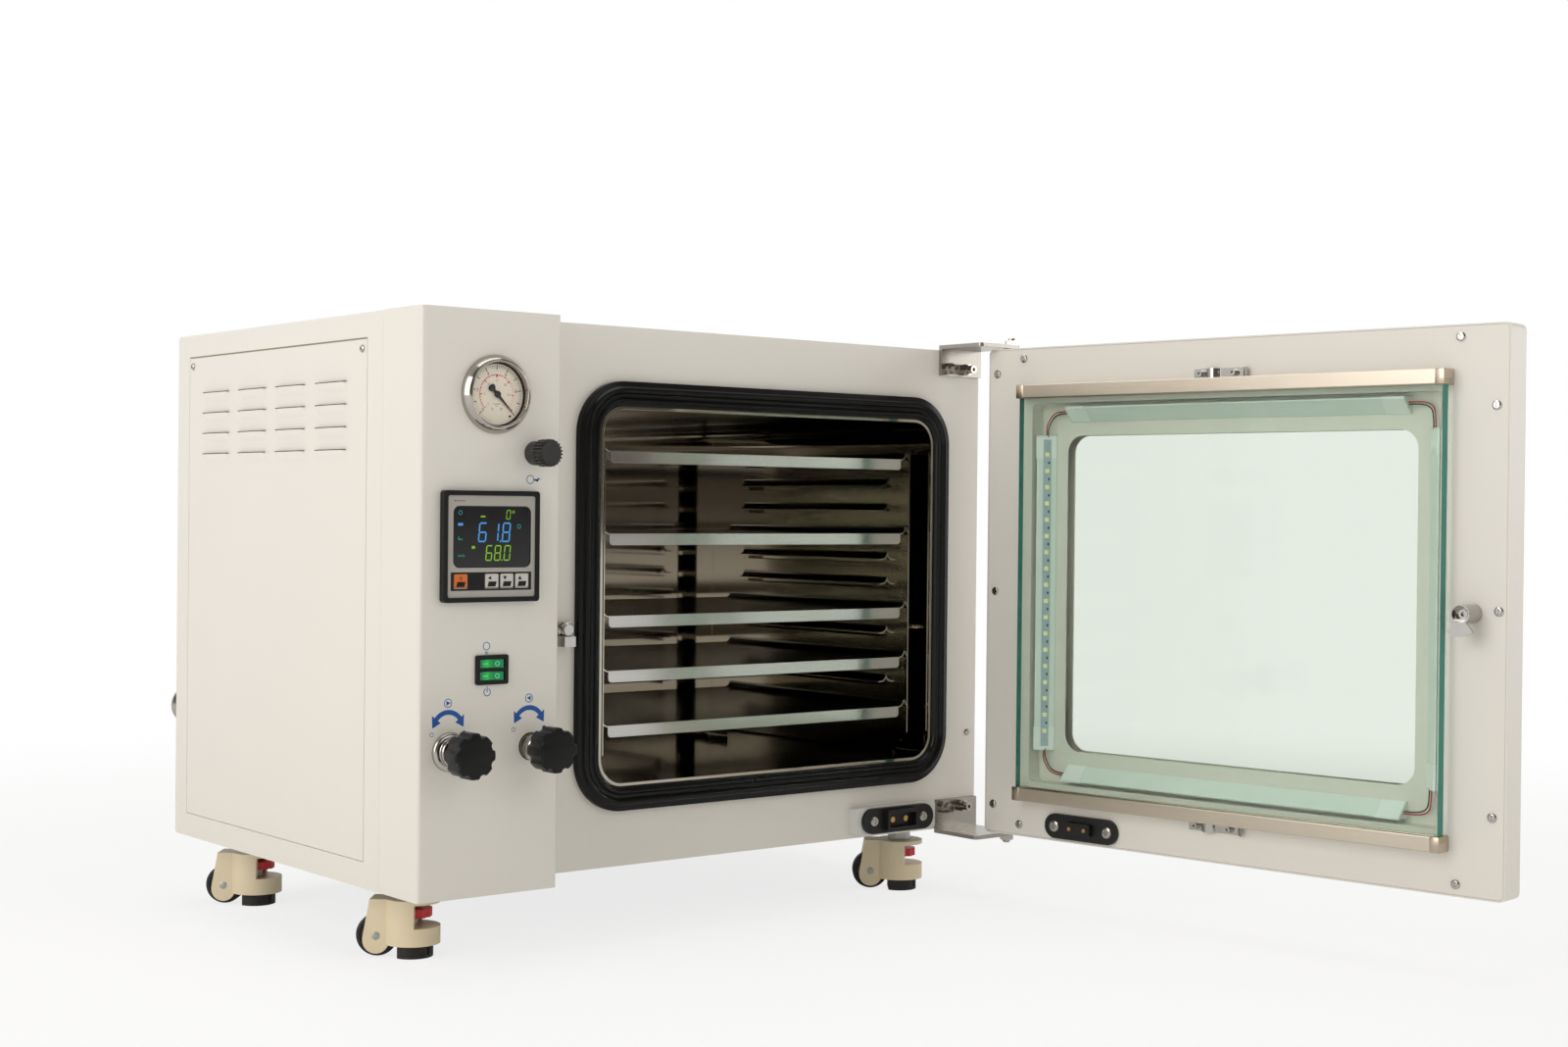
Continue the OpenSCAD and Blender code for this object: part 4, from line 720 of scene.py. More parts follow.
def on_side(x, y, z):
    """Local +Z out of the cabinet's left side, local +Y upwards."""
    turn = Matrix(((0, 0, -1), (-1, 0, 0), (0, 1, 0))).to_4x4()
    return CABINET @ Matrix.Translation(mm(x, y, z)) @ turn


# ---- cabinet ----


def cabinet_sheets():
    soften_all("cabinet",
               ("cabinet_shell", 0.25, "body_paint", "cabinet_wrap"),
               ("front_fascia", 0.2, "body_paint", "front_sheet"),
               ("control_column", 0.3, "body_paint", "column_box"),
               ("access_panel", 0.25, "body_paint", "side_cover"),
               ("chamber", 0.3, "chamber_steel", "chamber_tub"),
               ("shelf_racks", 0.0, "chamber_steel", "rack_plates"))
    for name in SHELVES:
        softened(name, name, 0.2, "chamber_steel")


# width and rise of each step across the seal, from its outer edge
SEAL_STEPS = [
    (0.25, 0.55), (0.55, 0.25), (3.2, 0.1), (0.5, 0.25), (0.5, 0.75),
    (0.9, 1.5), (0.9, 0.85), (1.0, 0.45), (1.1, 0.12), (1.1, -0.25),
    (0.9, -0.8), (0.7, -1.0), (0.7, -0.7), (0.9, -0.25), (1.0, 0.15),
    (0.9, -0.05), (0.8, 0.5), (0.6, 1.0), (0.7, 1.0), (0.8, 0.35),
    (0.9, 0.0), (0.8, -0.5), (0.6, -1.0), (0.7, -1.2), (0.7, -0.9)]
TUB_W, TUB_H, TUB_R = 421.0, 356.0, 26.5
SEAL_W, SEAL_BASE = 23.5, 7.0


def raise_face(rise):
    bpy.ops.mesh.extrude_region_move(
        TRANSFORM_OT_translate={"value": (0, 0, rise * MM)})


def drop_floor_face(piece):
    """Delete the face left over at the middle of the seal's underside."""
    mesh = bmesh.from_edit_mesh(piece.data)
    for part in (*mesh.faces, *mesh.edges, *mesh.verts):
        part.select = False
    for face in mesh.faces:
        spot = face.calc_center_median() / MM
        if abs(spot.z) < 0.01 and abs(spot.x) < 1 and abs(spot.y) < 1:
            face.select = True
    bmesh.update_edit_mesh(piece.data)
    bpy.ops.mesh.delete(type="FACE")


def gasket():
    """Silicone section with two sealing ridges, run round the mouth."""
    bpy.ops.mesh.primitive_plane_add(size=1)
    piece = bpy.context.active_object
    piece.name = "door_seal"
    edit(piece)
    bpy.ops.transform.resize(value=((TUB_W + 2 * SEAL_W) * MM,
                                    (TUB_H + 2 * SEAL_W) * MM, 1),
                             center_override=(0, 0, 0))
    bpy.ops.mesh.bevel(offset=(TUB_R + SEAL_W) * MM, segments=16,
                       affect="VERTICES")
    bpy.ops.mesh.select_all(action="SELECT")
    raise_face(SEAL_BASE - 0.8)
    for wide, rise in SEAL_STEPS:
        bpy.ops.mesh.inset(thickness=wide * MM, depth=rise * MM)
    total = sum(wide for wide, rise in SEAL_STEPS)
    height = SEAL_BASE + sum(rise for wide, rise in SEAL_STEPS)
    bpy.ops.mesh.inset(thickness=(SEAL_W - 0.15 - total) * MM, depth=0)
    raise_face(0.05 - height)
    bpy.ops.mesh.delete(type="FACE")
    drop_floor_face(piece)
    bpy.ops.mesh.select_mode(type="EDGE")
    bpy.ops.mesh.select_all(action="DESELECT")
    bpy.ops.mesh.select_non_manifold()
    bpy.ops.mesh.bridge_edge_loops()
    leave()
    settle(piece, on_front(CHAMBER[0], FRONT_Y, CHAMBER[1]), "cabinet",
           SILICONE, 60)
    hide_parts("door_gasket")


LOUVRE_COLUMNS = [161 + 81 * i for i in range(4)]
LOUVRE_LIPS = [447 - 20.3 * i for i in range(4)]
COVER_TOP = 483.4
COVER_BACK, COVER_FRONT = -469.0, -96.0


def side_gaps():
    """Painted shade: dark blocks closing the louvre mouths and a dark tan
    strip in the gap above the side cover, standing in for the shade in these
    openings.
    """
    # painted shade: thin dark blocks closing each louvre mouth, in place of
    # the shade inside it
    mouth = block("louvre_mouth_painted_shade", (1.9, 57, 0.8), (-1.9, 0, 0.4), 0.1, 1)
    mouth = row(mouth, [(0, y, z) for y in LOUVRE_COLUMNS
                        for z in LOUVRE_LIPS])
    settle(mouth, CABINET, "cabinet", MOUTH_PAINTED_SHADE)
    # painted shadow: dark tan strip along the gap above the side cover
    stamp("side_cover_painted_shadow",
          [rect(COVER_BACK, COVER_TOP, COVER_FRONT, COVER_TOP + 1.3)],
          on_side(-0.04, 0, 0), COVER_PAINTED_SHADOW)


RIM_HALF, RIM_BEND = (209.2, 176.7), 25.2
RIM_RADIUS, RIM_DEPTH = 1.1, 60.4


def mouth_rim():
    """Bright rolled edge of the chamber just inside the seal."""
    x, y = RIM_HALF[0] - RIM_BEND, RIM_HALF[1] - RIM_BEND
    points = []
    for start, corner in ((0, (x, y)), (90, (-x, y)), (180, (-x, -y)),
                          (270, (x, -y))):
        points += arc(RIM_BEND, start, start + 90, 8, *corner)
    rim = tube("chamber_rim", [(*point, 0) for point in points], RIM_RADIUS,
               closed=True)
    settle(rim, on_front(CHAMBER[0], RIM_DEPTH, CHAMBER[1]), "cabinet",
           CHROME)


# ---- gauge ----

GAUGE = (73.0, 434.0)
NEEDLE_REST = math.radians(-45)
SCALE_START, SCALE_SWEEP = 225, -270
DIAL_FACE = -1.4


def on_gauge(depth, x=0.0, z=0.0):
    return on_front(GAUGE[0] + x, depth, GAUGE[1] + z)


def scale_angle(part):
    return SCALE_START + SCALE_SWEEP * part


def dial_numbers(name, values, last, size, radius, material):
    """Plain numbers round the dial, up to the last one."""
    figures = []
    for value in values:
        a = math.radians(scale_angle(value / last))
        figures.append(numeral(str(value), size, radius * math.cos(a),
                               radius * math.sin(a)))
    settle(joined(figures, name), on_gauge(DIAL_FACE), "cabinet", material)


def gauge():
    case = turned("gauge_bezel", [
        (30.7, -30), (30.7, 0), (34.3, 0), (34.3, 1.5), (34.0, 2.6),
        (33.4, 4.0), (32.6, 5.4), (31.7, 6.8), (30.9, 7.8), (30.2, 8.5),
        (29.5, 8.9), (28.9, 9.0), (28.4, 8.9), (28.0, 8.6), (27.8, 8.0),
        (27.6, 7.2), (27.6, 1.0)], 128)
    settle(case, on_gauge(0), "cabinet", GAUGE_STEEL, 40)
    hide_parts("gauge_case")
    dial = turned("gauge_dial", [(27.4, 1.02), (27.4, 1.25), (27.2, 1.35)],
                  96)
    settle(dial, on_gauge(0), "cabinet", DIAL)
    stamp("dial_shadow_ring", ring(27.5, 0.9, steps=72), on_gauge(-1.9),
          BLACK, height=1.0)
    half = [(20.6, 0.2), (9, 0.75), (2.4, 1.2), (-2.4, 1.5), (-4.6, 1.2),
            (-6.4, 2.9), (-8.6, 3.4), (-10.0, 2.6)]
    outline = half + [(-10.6, 0)] + [(x, -y) for x, y in half[::-1]]
    pointer = flat_marks("gauge_pointer", [outline], 0.8)
    hub = turned("gauge_pointer_hub", [
        (3.0, 0), (3.0, 0.8), (2.6, 1.3), (1.2, 1.4)], 36)
    for part, turn in ((pointer, NEEDLE_REST), (hub, 0)):
        settle(part, on_gauge(-2.9) @ Matrix.Rotation(turn, 4, "Z"),
               "gauge_needle", BLACK_INK)
        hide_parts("gauge_needle")
    ticks = [tick(*((23.4, 1.5, 0.3) if i % 5 else (21.4, 3.8, 0.75)),
                  scale_angle(i / 50)) for i in range(51)]
    ticks += [rect(-3.4, -8.6, 3.4, -8.1), rect(-1.6, -10.3, 1.6, -9.9)]
    stamp("dial_scale", ticks, on_gauge(DIAL_FACE), BLACK_INK)
    dial_numbers("dial_numbers", range(0, 11, 2), 10, 4.0, 19.5, BLACK_INK)
    inner = [tick(*((15.8, 1.4, 0.3) if i % 5 else (14.4, 2.8, 0.55)),
                  scale_angle(i / 30)) for i in range(31)]
    circle = band(17.4, 0.45, scale_angle(1), SCALE_START, steps=72)
    stamp("dial_inner_scale", [circle] + inner, on_gauge(DIAL_FACE), RED_INK)
    dial_numbers("dial_inner_numbers", range(0, 31, 5), 30, 2.9, 11.9,
                 RED_INK)
    head = [(1.1, 0), (1.1, 0.35), (0.9, 0.6), (0.35, 0.62), (0.3, 0.35)]
    for x in (-4.6, 4.6):
        screw = turned("dial_screw", head, 20)
        settle(screw, on_gauge(-1.3, x, -12.6), "cabinet", CHROME)
    stop = turned("needle_stop", [(0.8, 0), (0.8, 1.2), (0.6, 1.4)], 16)
    settle(stop, on_gauge(-1.3, 13.2, -18.6), "cabinet", BLACK_INK)


# ---- fittings ----

VENT = (113.0, 384.0)
VALVES = {"pump_knob": 30.0, "inlet_knob": 112.0}
VALVE_Z = 127.0


def vent():
    body = turned("vent_neck", [
        (7.7, -1.4), (7.7, 0), (10.0, 0), (10.6, 0.6), (10.6, 10.4),
        (10.3, 11.3), (9.6, 12), (5.5, 12), (5.5, 23.8)], 64)
    cap = lobed("vent_grip", [
        (10.0, 12.3), (11.7, 12.6), (12.0, 13.1), (12.0, 16.2),
        (11.6, 16.7), (11.0, 17.0), (11.0, 18.2), (11.7, 18.6),
        (12.0, 19.2), (12.0, 26.4), (11.6, 27.4), (10.8, 28.0),
        (9.0, 28.0)], 11, lambda part: 1.0 if part % 0.5 < 0.25 else 0.87)
    for part, node, mover, angle in ((body, "vent_body", "cabinet", 32),
                                     (cap, "vent_cap", "vent_cap", 28)):
        settle(part, on_front(VENT[0], 0, VENT[1]), mover, VENT_GREY,
               angle)
        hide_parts(node)


def knob_outline(part):
    """Share of the full radius at a place between two finger flutes."""
    radius, depth_spot, flute = 19.8, 22.4, 4.9
    angle = math.radians((part - 0.5) * 45)
    across = depth_spot * math.sin(angle)
    if abs(across) >= flute:
        return 1.0
    reach = depth_spot * math.cos(angle) - math.sqrt(flute ** 2 - across ** 2)
    return min(1.0, reach / radius)


def knobs():
    for name, x in VALVES.items():
        grip = lobed(name + "_grip", [
            (18.4, 24), (19.4, 24.6), (19.8, 25.8), (19.8, 42.2),
            (19.6, 43.4), (19.0, 44.3), (18.2, 44.8), (17.2, 45.0)], 8,
            knob_outline)
        hub = turned(name + "_hub", [
            (9.8, 19), (10.7, 19.4), (11, 20.4), (11, 24.2)], 48)
        for part in (grip, hub):
            settle(part, on_front(x, 0, VALVE_Z), name, KNOB,
                   28)
            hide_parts(name)
    necks = (
        ("pump", [(14, -1.4), (14, 0), (17, 0.2), (17, 2.2), (16.7, 3.2),
                  (15.8, 4.2), (14.4, 4.9), (12.4, 5.2), (12, 5.8),
                  (12, 9.0), (11.4, 9.8), (8.2, 10.2), (8, 18.4),
                  (5, 18.6), (5, 37.6)], 28),
        ("inlet", [(9, -1.4), (9, 0), (11.6, 0.2), (11.6, 2.0), (9.0, 2.4),
                   (9.0, 4.0), (10.6, 4.4), (10.6, 6.0), (9.6, 6.4),
                   (9.6, 7.4), (10.6, 7.8), (10.6, 12.0), (9.9, 13.0),
                   (7.2, 13.4), (7, 18.4), (5, 18.6), (5, 37.6)], 22))
    for name, profile, wide in necks:
        x = VALVES[name + "_knob"]
        neck = turned(name + "_neck", profile, 72)
        body = block(name + "_valve_body", (wide, 30, wide),
                     (x, 26, VALVE_Z), 1.2)
        for part, place in ((neck, on_front(x, 0, VALVE_Z)),
                            (body, CABINET)):
            settle(part, place, "cabinet", SATIN)
            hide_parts("valve_bodies")


# ---- controller ----

CONTROLLER = (19.0, 254.6)
PANEL_SIZE = 96.0
PANEL_MIDDLE = [spot + PANEL_SIZE / 2 for spot in CONTROLLER]
PANEL_FACE, SCREEN_FACE = -5.5, -4.5
KEY_FACE = -6.22
# left and right edge, slot and sign of each key
KEYS = {
    "key_menu": (10.8, 23.9, "orange_key", ring(1.5, 0.5, 0, 2.6, 16)),
    "key_shift": (41.6, 54.8, "grey_key",
                  [[(-4.2, 2.8), (-0.8, 1.0), (-0.8, 4.6)]]),
    "key_down": (57.0, 69.6, "grey_key",
                 [[(-2.2, 1.0), (-0.2, 4.4), (-4.2, 4.4)]]),
    "key_up": (71.9, 85.0, "grey_key",
               [[(-2.2, 4.6), (-4.2, 1.2), (-0.2, 1.2)]])}
SEGMENTS = {"0": "abcdef", "1": "bc", "6": "acdefg", "8": "abcdefg"}
LEAN = 0.09


def digit(sign, x, y, wide, high, thick):
    """Lit bars of one figure, leaning a little; x, y is its lower left."""
    mid, edge = high / 2, thick / 2

    def level(at):
        return [(edge, at), (thick, at + edge), (wide - thick, at + edge),
                (wide - edge, at), (wide - thick, at - edge),
                (thick, at - edge)]

    def upright(at, low, top):
        return [(at, low), (at + edge, low + edge), (at + edge, top - edge),
                (at, top), (at - edge, top - edge), (at - edge, low + edge)]

    gap = thick * 0.22
    bars = {
        "a": level(high - edge), "g": level(mid), "d": level(edge),
        "b": upright(wide - edge, mid + gap, high - edge - gap),
        "c": upright(wide - edge, edge + gap, mid - gap),
        "e": upright(edge, edge + gap, mid - gap),
        "f": upright(edge, mid + gap, high - edge - gap)}
    return [[(x + px + LEAN * py, y + py) for px, py in bars[b]]
            for b in SEGMENTS[sign]]


def figures(signs, lefts, *size):
    """The bars of several figures: lower edge, width, height, thickness."""
    return [bar for sign, left in zip(signs, lefts)
            for bar in digit(sign, left, *size)]


def on_panel(depth, x=0.0, z=0.0):
    """A place on the controller, from its upper left corner."""
    return on_front(CONTROLLER[0] + x, depth,
                    CONTROLLER[1] + PANEL_SIZE + z)


def controller():
    case = softened("controller_case", "cabinet", 0.35, "panel_plastic",
                    "controller_panel")

    def inside(p):
        return (abs(p.x - PANEL_MIDDLE[0]) < 44
                and abs(p.z - PANEL_MIDDLE[1]) < 44)

    tint(case, FACE,
         lambda p: inside(p) and abs(p.y - PANEL_FACE) < 0.12)
    tint(case, SCREEN,
         lambda p: inside(p) and abs(p.y - SCREEN_FACE) < 0.2)
    printed_face, lit = on_panel(PANEL_FACE - 0.03), on_panel(-4.56)
    holes = [rect(key[0] - 0.4, -84.3, key[1] + 0.4, -71.5)
             for key in KEYS.values()]
    stamp("key_field", [rect(7.8, -85.9, 88.2, -70.1)] + holes,
          printed_face, BEZEL, height=0.1)
    stamp("screen_border", [
        rect(10.6, -64.2, 86.0, -13.8), rect(11.0, -63.8, 85.6, -14.2)],
        on_panel(-4.55), PANEL_IN)
    stamp("reading_figures",
          figures("618", (34.5, 46.6, 58.2), -44.4, 8.2, 17.1, 1.3)
          + [rect(56.6, -44.4, 58.0, -42.9)], lit, BLUE_SEGMENT)
    stamp("target_figures",
          figures("680", (42.0, 50.6, 60.2), -60.5, 6.6, 13.6, 1.1)
          + [rect(58.2, -60.5, 59.3, -59.3)], lit, LIME_SEGMENT)
    stamp("minute_figures",
          digit("0", 62.6, -24.7, 4.4, 8.2, 0.75)
          + ring(1.3, 0.5, 70.2, -18.2, 16)
          + [rect(37.4, -23.0, 42.0, -21.6),
             rect(28.7, -50.0, 31.9, -47.6)], lit, LIME_SEGMENT)
    stamp("state_marks",
          ring(2.0, 0.7, 76.0, -30.8, 20) + ring(2.0, 0.7, 17.3, -19.0, 20)
          + [rect(15.2, -42.4, 19.6, -41.4), rect(15.2, -41.4, 16.2, -39.6)]
          + [rect(x, -56.8, x + 1.4, -55.2) for x in (15.4, 17.8, 20.2)],
          lit, TEAL_SEGMENT)
    stamp("reading_mark", [rect(15.0, -30.2, 19.8, -28.0)], lit,
          BLUE_SEGMENT)
    stamp("maker_plate", [rect(11.0, -9.6, 12.6, -8.4)] + [
        rect(14.0 + 2.0 * i, -9.4, 15.2 + 2.0 * i, -8.6)
        for i in range(4)], printed_face, BLACK_INK)
    window = [(-4.6, -4.6), (3.4, -4.6), (4.6, -0.2), (-3.4, -0.2)]
    for name, (left, right, slot, sign) in KEYS.items():
        softened(name, name, 0.5, slot, name + "_cap", 3)
        stamp(name + "_mark", [window] + sign,
              on_panel(KEY_FACE, (left + right) / 2, -78.0), BEZEL, name)


# ---- switch ----

SWITCH = (70.75, 195.85)
ROCKER_LEAN = math.radians(-8)
ROCKER_HALF, ROCKER_DIP = 10.9, 2.2


def switch():
    softened("switch_housing", "cabinet", 0.4, "panel_plastic",
             "switch_frame", 3)
    for name, side in (("light_rocker", 1), ("power_rocker", -1)):
        softened(name, name, 0.35, "green_rocker", name + "_key", 3)
        for half, loops in ((-1, [rect(-2.6, -0.45, 2.6, 0.45)]),
                            (1, ring(2.1, 0.7, 0, 0, 24))):
            tilt = math.atan2(ROCKER_DIP, ROCKER_HALF) * -half
            place = (CABINET
                     @ Matrix.Translation(mm(SWITCH[0], 5.0,
                                             SWITCH[1] + side * 5.3))
                     @ Matrix.Rotation(ROCKER_LEAN, 4, "Z")
                     @ Matrix.Translation(mm(half * ROCKER_HALF / 2,
                                             -7.53, 0))
                     @ Matrix.Rotation(tilt, 4, "Z")
                     @ Matrix.Rotation(math.pi / 2, 4, "X"))
            stamp(name + "_mark", loops, place, PALE_GREEN, name)


# ---- print ----

SIGN_SCALE = 1.35
ARROWS = {"pump": 28.6, "inlet": 109.8}


def turn_arrow(x, z, radius=14.5):
    """Arched arrow with a head at each end."""
    low, high, wide, head = 38, 142, 4.2, 5.4
    loops = [band(radius + wide / 2, wide, low, high, x, z, 28)]
    for angle, way in ((low, -1), (high, 1)):
        a = math.radians(angle)
        tip = math.radians(angle + way * 33)
        loops.append([
            (x + (radius + side) * math.cos(turn),
             z + (radius + side) * math.sin(turn))
            for side, turn in ((head, a), (-head, a), (0.8, tip))])
    return loops


def front_print():
    place = on_front(0, -0.02, 0)
    for name, x in ARROWS.items():
        arrow = name + "_turn_arrow"
        shaft, *heads = turn_arrow(x, 146.5)
        stamp(arrow, [shaft], place, BLUE_INK)
        for i, head in enumerate(heads, 1):
            stamp(arrow + "_head_%d" % i, [head], place, BLUE_INK)
    signs = {
        "light_sign": (66, 213.6, ring(2.7, 0.5, 66, 215.6) + [
            rect(64.9, 211.4, 67.1, 212.0), rect(65.2, 210.4, 66.8, 210.9)]),
        "power_sign": (67, 177, [
            band(2.7, 0.6, 120, 420, 67, 176.6, 28),
            rect(66.7, 176.6, 67.3, 180.2)]),
        "pump_sign": (28.4, 168.8, ring(2.9, 0.5, 28.4, 168.8) + [
            [(27.2, 167.3), (30.4, 168.8), (27.2, 170.3)]]),
        "inlet_sign": (109.6, 169.4, ring(2.9, 0.5, 109.6, 169.4) + [
            [(111.0, 167.9), (111.0, 170.9), (107.9, 169.4)]]),
        "outlet_sign": (113, 361, ring(2.9, 0.5, 110.0, 361.0) + [
            rect(112.0, 360.7, 116.4, 361.3),
            [(115.6, 359.6), (118.6, 361.0), (115.6, 362.4)]])}
    for name, (x, z, loops) in signs.items():
        larger = [[(x + (px - x) * SIGN_SCALE, z + (pz - z) * SIGN_SCALE)
                   for px, pz in loop] for loop in loops]
        stamp(name, larger, place, BLUE_INK)
    for name, x in ARROWS.items():
        stamp(name + "_open_sign", ring(2.0, 0.5, x - 15.8, 142.6), place,
              BLUE_INK)
        stamp(name + "_closed_sign", [arc(2.1, 0, 345, 23, x + 15.8, 142.6)],
              place, BLUE_INK)


# ---- casters ----

HUB_REACH = 14.6
FOOT_TOP, ADJUSTER_LOW = -57.6, -34.6


def caster_parts():
    half = [(6.2, -8.8), (12.5, -8.8), (13.0, -7.6), (14.8, -7.4),
            (15.4, -8.6), (17.4, -8.8), (18.6, -8.0), (19.0, -6.6)]
    tread = half + [(reach, -side) for reach, side in half[::-1]]
    for i, (fork, name, pad) in enumerate(
            zip(CASTER_FRAMES, CASTER_WHEELS, CASTER_FEET), 1):
        roll = joints["caster_%d_roll" % i]
        axis = Vector(roll["axis"]).normalized()
        place = (Matrix.Translation(Vector(roll["pos_m"]))
                 @ axis.to_track_quat("Z", "Y").to_matrix().to_4x4())
        wheel = turned("wheel_tread_%d" % i, tread, 72)
        wheel.data.materials.append(TYRE)
        wheel.data.materials.append(HUB)
        for face in wheel.data.polygons:
            reach = max(wheel.data.vertices[v].co.xy.length
                        for v in face.vertices)
            face.material_index = 1 if reach < HUB_REACH * MM else 0
        settle(wheel, place, name, None)
        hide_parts(name)
        softened(fork, fork, 1.0, "caster_nylon", "caster_body_%d" % i, 3)
        for flip in (math.pi, 0):
            bolt = turned("axle_bolt", [
                (4.6, 12.6), (4.6, 12.8), (4.2, 13.0), (3.6, 13.2)], 6)
            round_edges(bolt, 0.2)
            settle(bolt, place @ Matrix.Rotation(flip, 4, "X"), fork, ZINC)
        foot = softened(pad, pad, 0.5, "foot_plastic", "caster_pad_%d" % i)
        tint(foot, ZINC, lambda p: p.z > FOOT_TOP)
        tint(foot, RED, lambda p: p.z > ADJUSTER_LOW)


# ---- front metal ----

PLUG = (589.8, 18.0)


def from_plug(p):
    """Distances of a place from the middle of the lamp contact."""
    return abs(p.x - PLUG[0]), abs(p.z - PLUG[1])


def is_socket_contact(p):
    across, up = from_plug(p)
    return 43.5 < p.y < 45.05 and across < 12.4 and up < 3.2


def is_plug_pin(p):
    across, up = from_plug(p)
    return p.y > 41.98 and abs(across - 9) < 2.2


def is_plug_screw(p):
    across, up = from_plug(p)
    return 35.9 < p.y < 40 and abs(across - 32) < 5.7 and up < 5.7


def hinge_metal():
    socket = soften_all(
        "cabinet",
        ("hinge_brackets", 0.6, "fitting_steel", "hinge_plates", 3),
        ("cabinet_fasteners", 0.3, "fitting_steel", "front_bolts"),
        ("door_strike", 0.5, "bright_chrome", "strike_plate", 3),
        ("lamp_socket", 0.5, "black_plastic", "lamp_socket_body", 3))[-1]
    tint(socket, WHITE, lambda p: p.y > 48.9)
    tint(socket, BRASS, is_socket_contact)
    tint(socket, SATIN, lambda p: p.y < 44.2 and 29 < from_plug(p)[0] < 39)


# ---- door ----


GLASS_CORE = (37.3, 48.7)
RAIL_END, RAIL_DEPTH = (9, 19.1, 14.1), 41.7
RAIL_ENDS, RAIL_LEVELS = (201.6, 660.4), (48.25, 459.75)


def door_parts():
    glass = soften_all(
        "door",
        ("door_shell", 0.3, "body_paint", "door_box"),
        ("door_liner", 0.25, "body_paint", "door_inner_sheet"),
        ("window_pane", 0.4, "door_glass", "outer_glass"),
        ("inner_glass", 0.8, "door_glass", "thick_glass"))[-1]
    tint(glass, GLASS_EDGE, lambda p: GLASS_CORE[0] < p.y < GLASS_CORE[1],
         DOOR)
    softened("glass_bars", "door", 0.9, "bar_steel", "glass_rails", 3)
    cap = block("rail_end", RAIL_END, (0, RAIL_DEPTH, 0), 0.7)
    caps = row(cap, [(x, 0, z) for x in RAIL_ENDS for z in RAIL_LEVELS])
    settle(caps, DOOR, "door", BAR_CAP)
    plug = soften_all(
        "door",
        ("lamp_profiles", 0.3, "white_plastic", "lamp_channels"),
        ("door_fittings", 0.35, "bright_chrome", "clips_and_screws"),
        ("lamp_plug", 0.4, "black_plastic", "lamp_plug_body", 3))[-1]
    tint(plug, BRASS, is_plug_pin, DOOR)
    tint(plug, SATIN, is_plug_screw, DOOR)
    soften_all("latch",
               ("latch_cam", 0.35, "bright_chrome", "latch_sleeve", 3),
               ("door_handle", 1.0, "black_plastic", "door_lever", 3))


# turn about the door's normal, place and half length of each lamp profile
PROFILES = {"latch_side": (0, 210.45, 254, 160),
            "hinge_side": (180, 651.45, 254, 160),
            "lower": (-90, 430.95, 64, 185),
            "upper": (90, 430.95, 444, 185)}
TRAY_FLOOR = 14.0
CAP_LENGTH = 22
STRIP_SPOT = (643.2, 22.25, 254.0)
LAMPS, LAMP_PITCH = 18, 16.67
STRIP_HALF = 141.7
WIRE_RADIUS = 0.65
WIRES = {"red": (0, WIRE_RED), "black": (2.0, WIRE_BLACK)}


def lamp_ends():
    """End caps over the lamp profiles."""
    low, high, lip = -0.3, 15.3, 2.0
    outline = [(low, low), (high, low), (high, lip), (lip, high),
               (low, high)]
    for name, (turn, x, z, half) in PROFILES.items():
        place = (DOOR @ Matrix.Translation(mm(x, TRAY_FLOOR + 0.35, z))
                 @ Matrix.Rotation(math.radians(turn), 4, "Y"))
        reach = half - CAP_LENGTH / 2
        cap = row(flat_marks(name + "_lamp_ends", [outline], CAP_LENGTH),
                  [(0, 0, -reach), (0, 0, reach)])
        settle(cap, place, "door", END_CAP)


def lamp_strip():
    """Row of small lamps on the profile beside the hinges."""
    r = math.sqrt(0.5)
    slope = Matrix(((-r, 0, -r), (-r, 0, r), (0, 1, 0))).to_4x4()
    place = DOOR @ Matrix.Translation(mm(*STRIP_SPOT)) @ slope
    spots = [(0, LAMP_PITCH * i - STRIP_HALF, 0) for i in range(LAMPS)]
    for name, size, spot, width, steps, material in (
            ("lamp_strip_board", (8, 2 * STRIP_HALF + 31, 0.9),
             (0, 0, 0.45), 0.1, [(0, 0, 0)], STRIP),
            ("strip_lamp", (4.2, 4.2, 0.9), (0, 0, 0.9), 0.15, spots,
             END_CAP),
            ("strip_lamp_die", (2.8, 2.8, 0.2), (0, 0, 1.4), 0.05, spots,
             DIE),
            ("strip_resistor", (1.6, 2.6, 0.6), (1.8, LAMP_PITCH / 2, 0.8),
             0.1, spots[:-1], CHIP)):
        part = row(block(name, size, spot, width, 1), steps)
        settle(part, place, "door", material)


def lamp_wires():
    """Red and black wires round the corners of the lamp tray."""
    path = ((213, 21, 158), (214, 23, 168), (212, 20, 176), (209, 18, 183),
            (200, 19, 186), (186, 21, 185))
    for side in (-1, 1):
        for end in (-1, 1):
            for name, (shift, material) in WIRES.items():
                wire = tube(name + "_wire", [
                    (CHAMBER[0] + side * (across - shift), y,
                     CHAMBER[1] + end * (rise - shift))
                    for across, y, rise in path], WIRE_RADIUS)
                settle(wire, DOOR, "door", material)


for build in (cabinet_sheets, side_gaps, gasket, mouth_rim, gauge, vent,
              knobs, controller, switch, front_print, caster_parts,
              hinge_metal, door_parts, lamp_ends, lamp_strip, lamp_wires):
    build()


# ---- studio ----

FADE_NEAR, FADE_FAR = 0.7, 2.2
TARGET = (0, 0, 0.3)


def mix_shader(tree, mask, a, b):
    return add(tree, "MixShader", {0: mask, 1: a, 2: b}).outputs[0]


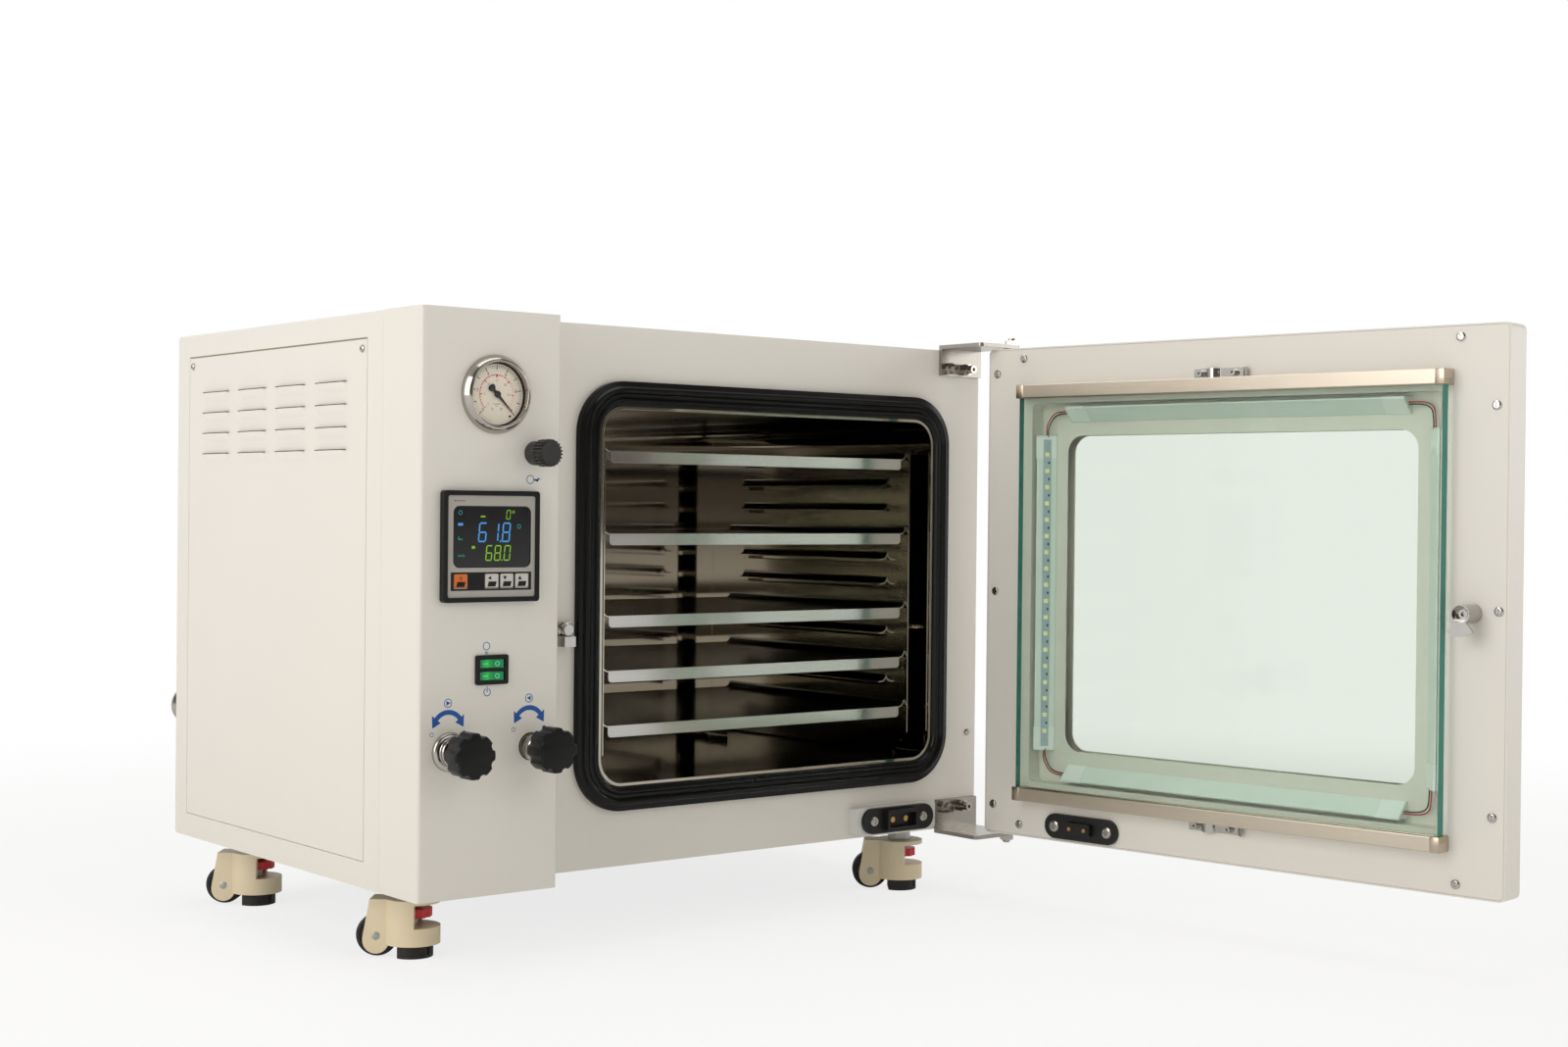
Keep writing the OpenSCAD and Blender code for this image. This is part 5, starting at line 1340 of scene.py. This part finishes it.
def add_floor():
    """Pale floor that keeps the shadow and fades into the white behind."""
    bpy.ops.mesh.primitive_plane_add(size=40, location=(0, 0, 0))
    floor = bpy.context.active_object
    floor.name = "floor"
    material, tree, shader, place = blank("floor_white")
    colour = mix_colour(tree, noise(tree, place, 1.5, 2), (0.90, 0.90, 0.89),
                        (0.93, 0.93, 0.92))
    dress(tree, shader, {"Base Color": colour, "Roughness": 0.9,
                         "Specular IOR Level": 0.0})
    reach = add(tree, "VectorMath", {0: place}, operation="LENGTH")
    seen = add(tree, "LightPath").outputs["Is Camera Ray"]
    fade = add(tree, "MapRange", {
        "Value": reach.outputs["Value"], "From Min": FADE_NEAR,
        "From Max": FADE_FAR, "To Min": spread(tree, seen, 0.15, 0.78)},
        interpolation_type="SMOOTHSTEP").outputs["Result"]
    white = add(tree, "Emission").outputs[0]
    feed(tree, tree.nodes["Material Output"].inputs["Surface"],
         mix_shader(tree, fade, shader.outputs[0], white))
    floor.data.materials.append(material)


def add_area(name, spot, size, power, colour=(1, 1, 1)):
    data = bpy.data.lights.new(name, "AREA")
    data.shape = "RECTANGLE"
    data.size, data.size_y = size
    data.energy = power
    data.color = colour
    lamp = linked(name, data)
    lamp.location = Vector(spot)
    ahead = Vector(TARGET) - Vector(spot)
    lamp.rotation_euler = ahead.to_track_quat("-Z", "Y").to_euler()


def backdrop(tree, colour, strength):
    return add(tree, "Background", {
        "Color": colour, "Strength": strength}).outputs[0]


def add_world():
    """White to the camera, a dim warm room for light, and for reflections a
    room that is dark on the camera's side and pale behind the part."""
    world = bpy.data.worlds.new("studio")
    bpy.context.scene.world = world
    world.use_nodes = True
    tree = world.node_tree
    tree.nodes.clear()
    out = tree.nodes.new("ShaderNodeOutputWorld")
    ways = add(tree, "LightPath").outputs
    seen = maths(tree, "ADD", ways["Is Camera Ray"],
                 ways["Is Transmission Ray"], clamp=True)
    around = add(tree, "TexCoord").outputs["Generated"]
    ahead = add(tree, "SeparateXYZ", {0: around}).outputs["Y"]
    behind = maths(tree, "ADD", maths(tree, "MULTIPLY", ahead, 1.4), 0.5,
                   clamp=True)
    tint = mix_colour(tree, spread(tree, behind, 0.0, 1.0),
                      (0.13, 0.115, 0.095), (0.95, 0.95, 0.93))
    lit = mix_shader(tree, ways["Is Glossy Ray"],
                     backdrop(tree, (1.0, 0.96, 0.89), 0.33),
                     backdrop(tree, tint, 1.0))
    feed(tree, out.inputs[0],
         mix_shader(tree, seen, lit, backdrop(tree, (1, 1, 1), 1.0)))


add_floor()
add_world()
add_area("left_softbox", (-3.2, -0.3, 1.5), (2.4, 2.4), 50,
         (1.0, 0.985, 0.96))
add_area("front_softbox", (0.6, -3.4, 2.2), (2.6, 1.6), 14,
         (1.0, 0.98, 0.95))
add_area("right_softbox", (3.4, -2.2, 1.2), (1.6, 1.6), 30,
         (1.0, 0.99, 0.98))
add_area("top_softbox", (0, 0.4, 3.2), (2.6, 2.6), 34)

scene = bpy.context.scene
scene.view_settings.view_transform = "Standard"
